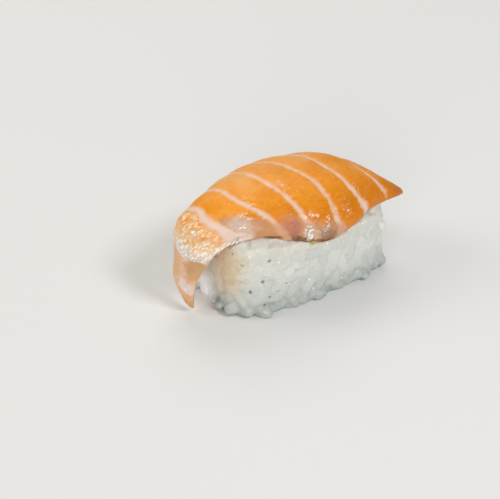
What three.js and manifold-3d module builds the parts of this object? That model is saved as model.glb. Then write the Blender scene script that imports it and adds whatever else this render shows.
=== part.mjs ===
// Salmon nigiri: a hand-pressed heap of rice with one slice of raw salmon draped over it.
// Millimetres, +Z up. The origin lies on the table under the middle of the piece. +X runs
// along the piece to the thin pointed end of the slice, -X is the end where the slice hangs
// down to the table, and -Y is the side that shows the slice's darker skin edge.

import Module from 'manifold-3d';
import * as THREE from 'three';
import { mergeVertices } from 'three/addons/utils/BufferGeometryUtils.js';

// Slice: sections from the tip that hangs down (-X) to the thin pointed end (+X), evenly
// spaced along it. Each gives the crest of the underside (x, z), the two long edges (y),
// the ridge between them (y), how far each edge drops below the crest, and the thickness.
const SECTIONS = [
  { x: -29.4, z: 1.0, near: -2.0, ridge: -1.5, far: -1.0, nearDrop: -0.6, farDrop: -0.6, thick: 1.2 },
  { x: -27.8, z: 6.6, near: -2.2, ridge: 0.5, far: 5.4, nearDrop: -1.6, farDrop: -1.2, thick: 2.6 },
  { x: -26.3, z: 12.2, near: -3.7, ridge: 1.5, far: 8.2, nearDrop: -1.2, farDrop: -0.8, thick: 3.6 },
  { x: -24.6, z: 17.2, near: -5.5, ridge: 1.5, far: 9.8, nearDrop: 0.2, farDrop: 0.4, thick: 4.4 },
  { x: -21.1, z: 20.6, near: -7.2, ridge: 1.5, far: 9.2, nearDrop: 1.5, farDrop: 1.2, thick: 5.0 },
  { x: -15.1, z: 22.4, near: -9.7, ridge: 1.8, far: 10.6, nearDrop: 2.6, farDrop: 2.0, thick: 5.2 },
  { x: -8.4, z: 22.8, near: -12.2, ridge: 2.0, far: 13.2, nearDrop: 4.5, farDrop: 2.8, thick: 5.4 },
  { x: -1.0, z: 22.8, near: -14.6, ridge: 2.0, far: 14.3, nearDrop: 6.3, farDrop: 3.0, thick: 5.4 },
  { x: 6.3, z: 22.4, near: -14.4, ridge: 2.0, far: 14.3, nearDrop: 6.3, farDrop: 3.0, thick: 5.2 },
  { x: 13.1, z: 21.4, near: -12.6, ridge: 1.5, far: 13.0, nearDrop: 4.4, farDrop: 2.4, thick: 4.8 },
  { x: 19.2, z: 19.7, near: -10.3, ridge: -0.5, far: 8.9, nearDrop: 2.4, farDrop: 1.0, thick: 4.0 },
  { x: 25.2, z: 17.3, near: -9.0, ridge: -4.5, far: 0.8, nearDrop: 0.4, farDrop: -0.6, thick: 2.8 },
  { x: 30.2, z: 15.6, near: -7.6, ridge: -7.0, far: -6.6, nearDrop: -0.5, farDrop: -0.5, thick: 1.0 },
];
const DROP_POWER = 2.3; // how suddenly the edges turn down
const SHOULDER_POWER = 5; // how square the long edges of the slice are
const TIP_ROUNDING = 0.02; // share of the slice's length that each tip takes to close
const SLICE_RINGS = 50; // facets along the slice
const SLICE_FACETS = 22; // facets round its section
const END_CROWDING = 0.55; // how much closer the rings stand near both tips

// Hollow in the outer face of the hanging end, under the fold where the slice turns down
const HOLLOW = { share: 0.145, reach: 0.06, across: 0.12, width: 0.3, depth: 1.2 };

// Rice heap, a rounded block pressed between the fingers and the palm
const RICE_LEFT = -23.0;
const RICE_RIGHT = 23.0;
const RICE_NEAR = -14.1;
const RICE_FAR = 14.5;
const RICE_CROWN = 23.2; // height of the block if no slice lay on it
const RICE_BELLY = 9.7; // height where the block is widest
const RICE_UNDER = 8.0; // how far its round lower half would reach below the table
const PLAN_POWER = 3.6; // squareness of the block seen from above
const SIDE_POWER = 4; // squareness of the block seen from the side
const BLOCK_FACETS = 36; // round the block
const BLOCK_BANDS = 18; // up the block
const CLEARANCE = 0.3; // between slice and rice
const FARTHEST_SLOPE = 1.5; // how far past an edge the slice's slope is followed, in half widths

// Grains of cooked short-grain rice
const GRAIN_LENGTH = 6.0;
const GRAIN_WIDTH = 2.7;
const GRAIN_SPREAD = 0.12; // share by which the grains differ in size
const GRAIN_PITCH = 4.5; // between grains of one course
const COURSE_PITCH = 3.1; // between courses of grains
const LOWEST_COURSE = 1.2; // height of the lowest course
const GRAIN_SINK = 0.65; // how deep a grain's axis lies below the face of the block
const GRAIN_JITTER = 0.7; // how far a grain may stray from its even place
const GRAIN_LIFT = 0.36; // steepest slope of a grain out of the face, radians
const GRAIN_PLUMPNESS = 0.2; // how much fuller than an ellipsoid a grain's ends are
const GRAIN_SIDES = 5;
const GRAIN_BANDS = 4;
const GRAIN_RISE = 0.5; // a grain's end reaches at most this far above the slice's underside
const HIDDEN_MARGIN = 2.2; // a grain further than this under the slice is left out
const SEED = 23;

const TINY = 1e-6;

const wasm = await Module();
wasm.setup();

/** Value at a share (0 to 1) of evenly spaced values, on a smooth curve through them. */
function along(values, share) {
  const last = values.length - 1;
  const place = THREE.MathUtils.clamp(share, 0, 1) * last;
  const i = Math.min(Math.floor(place), last - 1);
  const f = place - i;
  const b = values[i];
  const c = values[i + 1];
  const a = i > 0 ? values[i - 1] : 2 * b - c;
  const d = i + 2 <= last ? values[i + 2] : 2 * c - b;
  const square = 2 * a - 5 * b + 4 * c - d;
  const cubic = 3 * b - a - 3 * c + d;
  return 0.5 * (2 * b + (c - a) * f + square * f * f + cubic * f * f * f);
}

/** 1 at x = 0, falling smoothly to 0 at x = -1 and x = 1. */
function bump(x) {
  return Math.max(1 - x * x, 0) ** 2;
}

/** All the dimensions of the slice's section at a share of its length. */
function sectionAt(share) {
  const keys = Object.keys(SECTIONS[0]);
  return Object.fromEntries(keys.map((key) => [key, along(SECTIONS.map((each) => each[key]), share)]));
}

/** How far the section's underside lies below its crest at y. */
function dropAt(section, y) {
  const near = Math.max((section.ridge - y) / (section.ridge - section.near), 0);
  const far = Math.max((y - section.ridge) / (section.far - section.ridge), 0);
  return section.nearDrop * Math.min(near, FARTHEST_SLOPE) ** DROP_POWER
    + section.farDrop * Math.min(far, FARTHEST_SLOPE) ** DROP_POWER;
}

/** Point of the slice's underside; across runs from 0 at the near edge to 1 at the far one. */
function undersideAt(share, across) {
  const step = 1e-3;
  const section = sectionAt(share);
  const ahead = sectionAt(share + step);
  const behind = sectionAt(share - step);
  const outward = new THREE.Vector2(behind.z - ahead.z, ahead.x - behind.x).normalize();
  const y = THREE.MathUtils.lerp(section.near, section.far, across);
  const drop = dropAt(section, y);
  return new THREE.Vector3(section.x - outward.x * drop, y, section.z - outward.y * drop);
}

/** Direction from the slice's underside to its upper face. */
function outwardAt(share, across) {
  const step = 1e-3;
  const lengthwise = undersideAt(Math.min(share + step, 1), across);
  lengthwise.sub(undersideAt(Math.max(share - step, 0), across));
  const crosswise = undersideAt(share, across + step).sub(undersideAt(share, across - step));
  return lengthwise.cross(crosswise).normalize();
}

/** Slice as a skin, a sphere drawn out over its length and grown all round by a clearance. */
function sliceGeometry(clearance) {
  const geometry = new THREE.SphereGeometry(1, SLICE_FACETS, SLICE_RINGS);
  const position = geometry.getAttribute('position');
  const uv = geometry.getAttribute('uv');
  for (let i = 0; i < position.count; i += 1) {
    const even = 1 - uv.getY(i);
    const turn = 2 * Math.PI * uv.getX(i);
    const share = even - END_CROWDING * Math.sin(2 * Math.PI * even) / (2 * Math.PI);
    const toTip = Math.min(share, 1 - share, TIP_ROUNDING) / TIP_ROUNDING;
    const closing = Math.sqrt(Math.max(1 - (1 - toTip) ** 2, 0));
    const growth = closing > 0 ? clearance : 0;
    const section = sectionAt(share);
    const grown = closing + 2 * growth / (section.far - section.near);
    const across = 0.5 - 0.5 * Math.cos(turn) * grown;
    const fullness = Math.sqrt(Math.max(1 - Math.abs(Math.cos(turn)) ** SHOULDER_POWER, 0)) * closing;
    const hollow = HOLLOW.depth * bump((share - HOLLOW.share) / HOLLOW.reach)
      * bump((across - HOLLOW.across) / HOLLOW.width);
    const upper = (section.thick - hollow) * fullness + growth;
    const height = Math.sin(turn) > TINY ? upper : -growth;
    const point = undersideAt(share, across).addScaledVector(outwardAt(share, across), height);
    position.setXYZ(i, point.x, point.y, point.z);
  }
  return geometry;
}

/** Height of the slice's underside above a point of the table, followed on past its edges. */
function ceilingAt(x, y) {
  let low = 0;
  let high = 1;
  while (high - low > 1e-4) {
    const middle = (low + high) / 2;
    if (sectionAt(middle).x < x) {
      low = middle;
    } else {
      high = middle;
    }
  }
  const section = sectionAt(low);
  const covered = y > section.near + HIDDEN_MARGIN && y < section.far - HIDDEN_MARGIN;
  return { z: section.z - dropAt(section, y) - CLEARANCE, covered };
}

/** Point of the rice block's face; rise runs from -PI/2 below the table to PI/2 at the crown. */
function blockAt(turn, rise) {
  const cos = Math.cos(turn);
  const sin = Math.sin(turn);
  const plan = (Math.abs(cos) ** PLAN_POWER + Math.abs(sin) ** PLAN_POWER) ** (-1 / PLAN_POWER);
  const inward = Math.max(Math.cos(rise), 0) ** (2 / SIDE_POWER);
  const upward = Math.sign(rise) * Math.abs(Math.sin(rise)) ** (2 / SIDE_POWER);
  const reach = upward > 0 ? RICE_CROWN - RICE_BELLY : RICE_BELLY + RICE_UNDER;
  const x = (RICE_LEFT + RICE_RIGHT) / 2 + (RICE_RIGHT - RICE_LEFT) / 2 * plan * inward * cos;
  const y = (RICE_NEAR + RICE_FAR) / 2 + (RICE_FAR - RICE_NEAR) / 2 * plan * inward * sin;
  const z = Math.min(RICE_BELLY + reach * upward, ceilingAt(x, y).z);
  return new THREE.Vector3(x, y, z);
}

/** The rice block without its loose outer grains. */
function blockGeometry() {
  const geometry = new THREE.SphereGeometry(1, BLOCK_FACETS, BLOCK_BANDS);
  const position = geometry.getAttribute('position');
  for (let i = 0; i < position.count; i += 1) {
    const turn = Math.atan2(-position.getZ(i), position.getX(i));
    const rise = Math.asin(THREE.MathUtils.clamp(position.getY(i), -1, 1));
    const point = blockAt(turn, rise);
    position.setXYZ(i, point.x, point.y, point.z);
  }
  return geometry;
}

/** Values of a path's parameter at which the path has gone even steps. */
function evenSteps(pathAt, from, to, pitch, shift) {
  const samples = 240;
  const lengths = [0];
  for (let i = 1; i <= samples; i += 1) {
    const here = pathAt(THREE.MathUtils.lerp(from, to, i / samples));
    const before = pathAt(THREE.MathUtils.lerp(from, to, (i - 1) / samples));
    lengths.push(lengths[i - 1] + here.distanceTo(before));
  }
  const count = Math.round(lengths[samples] / pitch);
  const steps = [];
  for (let k = 0; k < count; k += 1) {
    const goal = lengths[samples] * (k + shift) / count;
    const i = lengths.findIndex((length) => length > goal);
    const part = (goal - lengths[i - 1]) / (lengths[i] - lengths[i - 1]);
    steps.push(THREE.MathUtils.lerp(from, to, (i - 1 + part) / samples));
  }
  return steps;
}

/** Random number between -1 and 1. */
function stray() {
  return 2 * THREE.MathUtils.seededRandom() - 1;
}

/** One grain of rice, lying at a place of the block's face in a random direction. */
function grainGeometry(turn, rise) {
  const step = 1e-2;
  const round = blockAt(turn + step, rise).sub(blockAt(turn - step, rise)).normalize();
  const up = blockAt(turn, rise + step).sub(blockAt(turn, rise - step)).normalize();
  const out = new THREE.Vector3().crossVectors(round, up).normalize();
  const heading = Math.PI * THREE.MathUtils.seededRandom();
  const lift = GRAIN_LIFT * stray();
  const axis = new THREE.Vector3().addScaledVector(round, Math.cos(heading))
    .addScaledVector(up, Math.sin(heading)).multiplyScalar(Math.cos(lift))
    .addScaledVector(out, Math.sin(lift)).normalize();
  const centre = blockAt(turn, rise).addScaledVector(out, -GRAIN_SINK)
    .addScaledVector(round, GRAIN_JITTER * stray()).addScaledVector(up, GRAIN_JITTER * stray());
  const halfLength = GRAIN_LENGTH / 2 * (1 + GRAIN_SPREAD * stray());
  const halfWidth = GRAIN_WIDTH / 2 * (1 + GRAIN_SPREAD * stray());
  const halfHeight = Math.hypot(halfLength * axis.z, halfWidth * Math.hypot(axis.x, axis.y));
  centre.z = Math.min(centre.z, ceilingAt(centre.x, centre.y).z + GRAIN_RISE - halfHeight);
  const geometry = new THREE.SphereGeometry(1, GRAIN_SIDES, GRAIN_BANDS);
  const position = geometry.getAttribute('position');
  for (let i = 0; i < position.count; i += 1) {
    const latitude = Math.asin(THREE.MathUtils.clamp(position.getY(i), -1, 1));
    const fuller = 1 + GRAIN_PLUMPNESS * Math.sin(2 * latitude) ** 2;
    position.setX(i, position.getX(i) * fuller);
    position.setZ(i, position.getZ(i) * fuller);
  }
  geometry.rotateY(Math.PI * stray());
  geometry.scale(halfWidth, halfLength, halfWidth);
  geometry.applyQuaternion(new THREE.Quaternion().setFromUnitVectors(new THREE.Vector3(0, 1, 0), axis));
  geometry.translate(centre.x, centre.y, centre.z);
  return geometry;
}

/** Grains in even courses over all of the block's face that shows. */
function grainGeometries() {
  THREE.MathUtils.seededRandom(SEED);
  const fullRound = 2 * Math.PI;
  const lowest = -Math.asin(((RICE_BELLY - LOWEST_COURSE) / (RICE_BELLY + RICE_UNDER)) ** (SIDE_POWER / 2));
  const courses = evenSteps((rise) => blockAt(-Math.PI / 2, rise), lowest, Math.PI / 2, COURSE_PITCH, 0);
  const grains = [];
  courses.forEach((rise, row) => {
    const shift = row % 2 === 0 ? 0.25 : 0.75;
    for (const turn of evenSteps((angle) => blockAt(angle, rise), 0, fullRound, GRAIN_PITCH, shift)) {
      const place = blockAt(turn, rise);
      const ceiling = ceilingAt(place.x, place.y);
      const grain = grainGeometry(turn, rise);
      const hidden = ceiling.covered && place.z > ceiling.z - HIDDEN_MARGIN;
      if (!hidden) {
        grains.push(grain);
      }
    }
  });
  return grains;
}

/** Closed solid of a geometry, its seams merged and its triangles without area dropped. */
function solidOf(geometry) {
  const bare = geometry.clone();
  bare.deleteAttribute('normal');
  bare.deleteAttribute('uv');
  const merged = mergeVertices(bare);
  const corners = merged.index.array;
  const kept = [];
  for (let i = 0; i < corners.length; i += 3) {
    const [a, b, c] = corners.slice(i, i + 3);
    if (a !== b && b !== c && c !== a) {
      kept.push(a, b, c);
    }
  }
  const vertProperties = merged.getAttribute('position').array;
  return new wasm.Manifold(new wasm.Mesh({ numProp: 3, vertProperties, triVerts: new Uint32Array(kept) }));
}

/** Geometry of a solid's largest piece, without cut-off crumbs and sealed hollows. */
function geometryOf(solid) {
  const pieces = solid.decompose().sort((a, b) => b.volume() - a.volume());
  const mesh = pieces[0].getMesh();
  const geometry = new THREE.BufferGeometry();
  geometry.setAttribute('position', new THREE.BufferAttribute(mesh.vertProperties, 3));
  geometry.setIndex(new THREE.BufferAttribute(mesh.triVerts, 1));
  geometry.computeVertexNormals();
  return geometry;
}

/** Slice of raw salmon. */
function makeSalmon() {
  const material = new THREE.MeshStandardMaterial({ color: '#e58a2e', roughness: 0.35, metalness: 0 });
  const mesh = new THREE.Mesh(geometryOf(solidOf(sliceGeometry(0))), material);
  mesh.name = 'salmon';
  return mesh;
}

/** Heap of rice: block and grains fused, cut flat by the table and to the slice above. */
function makeRice() {
  const tableSize = 120;
  const table = new THREE.BoxGeometry(tableSize, tableSize, tableSize);
  table.translate(0, 0, -tableSize / 2);
  let heap = solidOf(blockGeometry());
  for (const grain of grainGeometries()) {
    heap = heap.add(solidOf(grain));
  }
  heap = heap.subtract(solidOf(table)).subtract(solidOf(sliceGeometry(CLEARANCE)));
  const material = new THREE.MeshStandardMaterial({ color: '#dddcd3', roughness: 0.5, metalness: 0 });
  const mesh = new THREE.Mesh(geometryOf(heap), material);
  mesh.name = 'rice';
  return mesh;
}

const nigiri = new THREE.Group();
nigiri.add(makeRice(), makeSalmon());

export default nigiri;
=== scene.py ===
"""Salmon nigiri: the looks of a pressed heap of rice with one slice of raw salmon draped over it.

Lengths inside the shape classes are millimetres and become metres as each mesh is finished. +X runs
to the thin pointed end of the slice, -X is the end that hangs down to the table, and -Y is the side
that shows the slice's darker skin edge.
"""

import logging
import math
from dataclasses import dataclass, field
from enum import Enum, IntEnum
from typing import Any, Iterable

import bmesh
import bpy
import numpy as np
from mathutils import Euler, Matrix, Quaternion, Vector, noise
from mathutils.kdtree import KDTree


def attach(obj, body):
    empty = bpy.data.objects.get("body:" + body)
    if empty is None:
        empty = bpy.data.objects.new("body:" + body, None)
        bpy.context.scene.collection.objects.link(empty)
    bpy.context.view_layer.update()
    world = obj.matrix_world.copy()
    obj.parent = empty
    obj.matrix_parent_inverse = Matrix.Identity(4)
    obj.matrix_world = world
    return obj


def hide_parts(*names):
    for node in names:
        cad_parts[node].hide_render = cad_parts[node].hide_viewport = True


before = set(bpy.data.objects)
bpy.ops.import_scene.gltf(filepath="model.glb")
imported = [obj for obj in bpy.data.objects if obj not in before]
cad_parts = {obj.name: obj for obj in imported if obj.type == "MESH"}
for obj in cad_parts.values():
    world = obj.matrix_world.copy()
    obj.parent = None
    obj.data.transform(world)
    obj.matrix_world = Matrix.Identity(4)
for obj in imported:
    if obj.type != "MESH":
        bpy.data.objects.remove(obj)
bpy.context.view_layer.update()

LOG = logging.getLogger("nigiri")
MM = 0.001
FULL_TURN = 2 * math.pi
# step of a share, sweep or angle over which a slope is measured
STEP = 1e-3
TINY = 1e-9
Array = np.ndarray
Colour = tuple[float, float, float, float]
Triple = tuple[float, float, float]
# two numbers that belong together, such as a start and an end, or a least value and a range
Span = tuple[float, float]


# ---------------------------------------------------------------- small shared helpers


def linear(code: str) -> Colour:
    """Turns an sRGB hex colour into linear light.

    Args:
        code: Six hex digits after a hash.

    Returns:
        Red, green, blue and an alpha of 1.
    """
    shares = [int(code[i : i + 2], 16) / 255 for i in (1, 3, 5)]
    red, green, blue = (s / 12.92 if s <= 0.04045 else ((s + 0.055) / 1.055) ** 2.4 for s in shares)
    return (red, green, blue, 1.0)


def add_node(tree: bpy.types.NodeTree, kind: str, settings: dict[str, Any] | None = None,
             links: dict[str | int, Any] | None = None) -> bpy.types.Node:
    """Adds a shader node.

    Args:
        tree: The material's node tree.
        kind: Blender's name of the node type, without "ShaderNode".
        settings: Node properties by name, or values of input sockets by name or number.
        links: Output sockets to join to input sockets, by name or number.

    Returns:
        The new node.
    """
    node = tree.nodes.new(f"ShaderNode{kind}")
    for key, value in (settings or {}).items():
        if isinstance(key, str) and key in node.bl_rna.properties:
            setattr(node, key, value)
        else:
            node.inputs[key].default_value = value
    for key, socket in (links or {}).items():
        tree.links.new(socket, node.inputs[key])
    return node


def bump_curve(x: Array) -> Array:
    """1 at x = 0, falling smoothly to 0 at x = -1 and x = 1."""
    return np.maximum(1 - x * x, 0) ** 2


def ease(x: Array, low: float, high: float) -> Array:
    """0 below low, 1 above high and a smooth step between."""
    t = np.clip((x - low) / (high - low), 0, 1)
    return t * t * (3 - 2 * t)


def along(values: Array, share: Array) -> Array:
    """Values at shares of evenly spaced values, on a smooth curve through them.

    Args:
        values: The evenly spaced values, one row per quantity.
        share: Shares of the way, 0 to 1.

    Returns:
        One row of values per quantity.
    """
    last = values.shape[1] - 1
    place = np.clip(share, 0, 1) * last
    i = np.minimum(place.astype(int), last - 1)
    f = place - i
    padded = np.column_stack([2 * values[:, 0] - values[:, 1], values, 2 * values[:, -1] - values[:, -2]])
    a, b, c, d = (padded[:, i + k] for k in range(4))
    square = 2 * a - 5 * b + 4 * c - d
    cubic = 3 * b - a - 3 * c + d
    return 0.5 * (2 * b + (c - a) * f + square * f**2 + cubic * f**3)


def unit(vectors: Array) -> Array:
    """The same directions with a length of 1."""
    return vectors / np.maximum(np.linalg.norm(vectors, axis=-1, keepdims=True), TINY)


def drawn_out(points: Array, direction: Triple, times: float) -> Array:
    """Points squeezed along a direction, so that a pattern read at them comes out longer that way.

    Args:
        points: Points in mm, one row each.
        direction: The direction, of any length.
        times: How many times longer the pattern gets.

    Returns:
        The squeezed points.
    """
    axis = unit(np.array(direction))
    return points - np.outer(points @ axis, axis) * (1 - 1 / times)


def noise_field(points: Array, size: float, seed: float, octaves: int = 2) -> Array:
    """Smooth random values, about -1 to 1, at points.

    Args:
        points: Points in mm, one row each.
        size: Size of one blotch in mm.
        seed: Moves the pattern elsewhere.
        octaves: How many finer layers are added.

    Returns:
        One value per point.
    """
    shifted = points / size + seed
    return np.array([noise.fractal(Vector(p), 1.0, 2.0, octaves) for p in shifted])


def coordinates(mesh: bpy.types.Mesh, of_normals: bool = False) -> Array:
    """Vertex positions of a mesh.

    Args:
        mesh: The mesh.
        of_normals: Whether to give the vertex normals in their place.

    Returns:
        One row per vertex.
    """
    rows = np.zeros(len(mesh.vertices) * 3, np.float32)
    if of_normals:
        mesh.vertex_normals.foreach_get("vector", rows)
    else:
        mesh.vertices.foreach_get("co", rows)
    return rows.reshape(-1, 3).astype(float)


def set_coordinates(mesh: bpy.types.Mesh, rows: Array) -> None:
    """Moves the vertices of a mesh to the rows given."""
    mesh.vertices.foreach_set("co", rows.astype(np.float32).ravel())
    mesh.update()


def set_marks(mesh: bpy.types.Mesh, marks: dict[str, Array]) -> None:
    """Writes marks on a mesh, for its material to read.

    Args:
        mesh: The mesh.
        marks: One number per vertex under each name.
    """
    for name, values in marks.items():
        layer = mesh.attributes.new(name, "FLOAT", "POINT")
        layer.data.foreach_set("value", values.astype(np.float32))


def settled(bm: bmesh.types.BMesh, name: str) -> bpy.types.Mesh:
    """Makes a mesh of a bmesh and frees the bmesh.

    Args:
        bm: The bmesh.
        name: Name of the mesh.

    Returns:
        The mesh.
    """
    mesh = bpy.data.meshes.new(name)
    bm.to_mesh(mesh)
    bm.free()
    return mesh


def finish_piece(name: str, mesh: bpy.types.Mesh, material: bpy.types.Material) -> bpy.types.Object:
    """Makes a smooth object in metres of a mesh in mm.

    Args:
        name: Name of the piece.
        mesh: Its mesh, placed where the piece is.
        material: What it is dressed in.

    Returns:
        The object, at the origin.
    """
    mesh.transform(Matrix.Scale(MM, 4))
    mesh.materials.clear()
    mesh.materials.append(material)
    mesh.shade_smooth()
    piece = bpy.data.objects.new(name, mesh)
    bpy.context.scene.collection.objects.link(piece)
    return piece


class Stray:
    """Seeded random numbers, the same on every run (mulberry32)."""

    MASK = 0xFFFFFFFF
    STRIDE = 0x6D2B79F5

    def __init__(self, seed: int) -> None:
        """Starts the row of numbers at a seed and lets the first one go by."""
        self.state = seed
        self.share()

    def share(self) -> float:
        """Works out the next number.

        Returns:
            A number from 0 to 1.
        """
        self.state = (self.state + self.STRIDE) & self.MASK
        t = self.state
        t = ((t ^ (t >> 15)) * (t | 1)) & self.MASK
        t ^= (t + (((t ^ (t >> 7)) * (t | 61)) & self.MASK)) & self.MASK
        return ((t ^ (t >> 14)) & self.MASK) / 2**32

    def either(self) -> float:
        """Next number from -1 to 1."""
        return 2 * self.share() - 1

    def around(self, middle: float, swing: float) -> float:
        """Next number within a swing of a middle."""
        return middle + swing * self.either()

    def above(self, span: Span) -> float:
        """Next number of a span, given as its least value and its range."""
        return span[0] + span[1] * self.share()


# ---------------------------------------------------------------- forms, in mm


class Part(IntEnum):
    """Rows of the slice's table of sections."""

    X = 0
    Z = 1
    NEAR = 2
    RIDGE = 3
    FAR = 4
    NEAR_DROP = 5
    FAR_DROP = 6
    THICK = 7


@dataclass(frozen=True)
class SliceForm:
    """Smooth form of the slice: sections along it, its underside and its skin."""

    # crest of the underside (x, z), near edge, ridge and far edge (y), how far each edge drops
    # below the crest, and the thickness, from the hanging tip to the pointed end
    sections: tuple[tuple[float, ...], ...] = (
        (-29.4, 1.0, -2.0, -1.5, -1.0, -0.6, -0.6, 1.2),
        (-27.8, 6.6, -2.2, 0.5, 5.4, -1.6, -1.2, 2.6),
        (-26.3, 12.2, -3.7, 1.5, 8.2, -1.2, -0.8, 3.6),
        (-24.6, 17.2, -5.5, 1.5, 9.8, 0.2, 0.4, 4.4),
        (-21.1, 20.6, -7.2, 1.5, 9.2, 1.5, 1.2, 5.0),
        (-15.1, 22.4, -9.7, 1.8, 10.6, 2.6, 2.0, 5.2),
        (-8.4, 22.8, -12.2, 2.0, 13.2, 4.5, 2.8, 5.4),
        (-1.0, 22.8, -14.6, 2.0, 14.3, 6.3, 3.0, 5.4),
        (6.3, 22.4, -14.4, 2.0, 14.3, 6.3, 3.0, 5.2),
        (13.1, 21.4, -12.6, 1.5, 13.0, 4.4, 2.4, 4.8),
        (19.2, 19.7, -10.3, -0.5, 8.9, 2.4, 1.0, 4.0),
        (25.2, 17.3, -9.0, -4.5, 0.8, 0.4, -0.6, 2.8),
        (30.2, 15.6, -7.6, -7.0, -6.6, -0.5, -0.5, 1.0),
    )
    drop_power: float = 2.3
    shoulder_power: float = 5.0
    tip_rounding: float = 0.02
    clearance: float = 0.3
    farthest_slope: float = 1.5
    hidden_margin: float = 2.2
    table_size: int = 4001
    # shares between which the sides of the hanging tip turn to one direction, so that they can't cross
    tip_calm: Span = (0.15, 0.09)
    calm_share: float = 0.8
    calm_heading: Triple = (-1.0, 0.0, 0.06)
    # hollow in the outer face of the hanging end, under the fold where the slice turns down
    hollow_share: float = 0.145
    hollow_reach: float = 0.06
    hollow_across: float = 0.12
    hollow_width: float = 0.3
    hollow_depth: float = 1.2

    def section(self, share: Array) -> Array:
        """All dimensions of the section at shares of the length, one row per Part."""
        return along(np.array(self.sections).T, np.asarray(share, float))

    def drop(self, section: Array, y: Array) -> Array:
        """How far the underside lies below its crest.

        Args:
            section: Dimensions of the section at each point.
            y: Places across the slice in mm.

        Returns:
            The drops in mm.
        """
        ridge = section[Part.RIDGE]
        drop = np.zeros_like(y)
        for edge, depth in ((Part.NEAR, Part.NEAR_DROP), (Part.FAR, Part.FAR_DROP)):
            slope = np.maximum((y - ridge) / (section[edge] - ridge), 0)
            drop = drop + section[depth] * np.minimum(slope, self.farthest_slope) ** self.drop_power
        return drop

    def underside(self, share: Array, across: Array) -> Array:
        """Points of the underside.

        Args:
            share: Shares of the length.
            across: Shares of the width, 0 at the near edge and 1 at the far one.

        Returns:
            The points, one row each.
        """
        here = self.section(share)
        ahead = self.section(share + STEP)
        behind = self.section(share - STEP)
        out = unit(np.stack([behind[Part.Z] - ahead[Part.Z], ahead[Part.X] - behind[Part.X]], -1))
        y = here[Part.NEAR] + (here[Part.FAR] - here[Part.NEAR]) * across
        drop = self.drop(here, y)
        return np.stack([here[Part.X] - out[:, 0] * drop, y, here[Part.Z] - out[:, 1] * drop], -1)

    def outward(self, share: Array, across: Array) -> Array:
        """Directions from the underside to the upper face.

        Args:
            share: Shares of the length.
            across: Shares of the width.

        Returns:
            The directions, one row each.
        """
        lengthwise = self.underside(np.minimum(share + STEP, 1), across)
        lengthwise = lengthwise - self.underside(np.maximum(share - STEP, 0), across)
        crosswise = self.underside(share, across + STEP) - self.underside(share, across - STEP)
        directions = unit(np.cross(lengthwise, crosswise))
        calm = self.calm_share * ease(share, *self.tip_calm)[:, None]
        return unit(directions * (1 - calm) + np.array(self.calm_heading) * calm)

    def skin(self, share: Array, turn: Array) -> Array:
        """Points of the slice's skin.

        Args:
            share: Shares of the length.
            turn: Angles round the section, 0 at the near edge and rising over the upper face.

        Returns:
            The points, one row each.
        """
        to_tip = np.minimum(np.minimum(share, 1 - share), self.tip_rounding) / self.tip_rounding
        closing = np.sqrt(np.maximum(1 - (1 - to_tip) ** 2, 0))
        across = 0.5 - 0.5 * np.cos(turn) * closing
        squareness = np.abs(np.cos(turn)) ** self.shoulder_power
        fullness = np.sqrt(np.maximum(1 - squareness, 0)) * closing
        hollow = self.hollow_depth * bump_curve((share - self.hollow_share) / self.hollow_reach)
        hollow = hollow * bump_curve((across - self.hollow_across) / self.hollow_width)
        upper = (self.section(share)[Part.THICK] - hollow) * fullness
        height = np.where(np.sin(turn) > TINY, upper, 0.0)
        return self.underside(share, across) + self.outward(share, across) * height[:, None]

    def spans(self, share: Array, turn: Array) -> tuple[Array, Array]:
        """How much skin there is to a share and to a turn.

        Args:
            share: Shares of the length.
            turn: Angles round the section.

        Returns:
            Millimetres of skin in a whole share, and in half a turn, at each place.
        """
        ahead = np.minimum(share + STEP, 1)
        behind = np.maximum(share - STEP, 0)
        lengthwise = np.linalg.norm(self.skin(ahead, turn) - self.skin(behind, turn), axis=1)
        crosswise = np.linalg.norm(self.skin(share, turn + STEP) - self.skin(share, turn - STEP), axis=1)
        return lengthwise / (ahead - behind), crosswise / (2 * STEP) * math.pi

    def ceiling(self, x: Array, y: Array) -> tuple[Array, Array]:
        """How far up there is room under the slice.

        Args:
            x: Places on the table in mm.
            y: Places on the table in mm.

        Returns:
            Height of the underside above them, and which of them the slice covers well.
        """
        shares = np.linspace(0, 1, self.table_size)
        share = np.interp(x, self.section(shares)[Part.X], shares)
        section = self.section(share)
        low = section[Part.NEAR] + self.hidden_margin
        high = section[Part.FAR] - self.hidden_margin
        return section[Part.Z] - self.drop(section, y) - self.clearance, (y > low) & (y < high)


@dataclass(frozen=True)
class Grain:
    """One grain of rice: its middle, the way it points, its half sizes and how it is rolled."""

    centre: Vector
    axis: Vector
    half_length: float
    half_width: float
    roll: float


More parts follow.
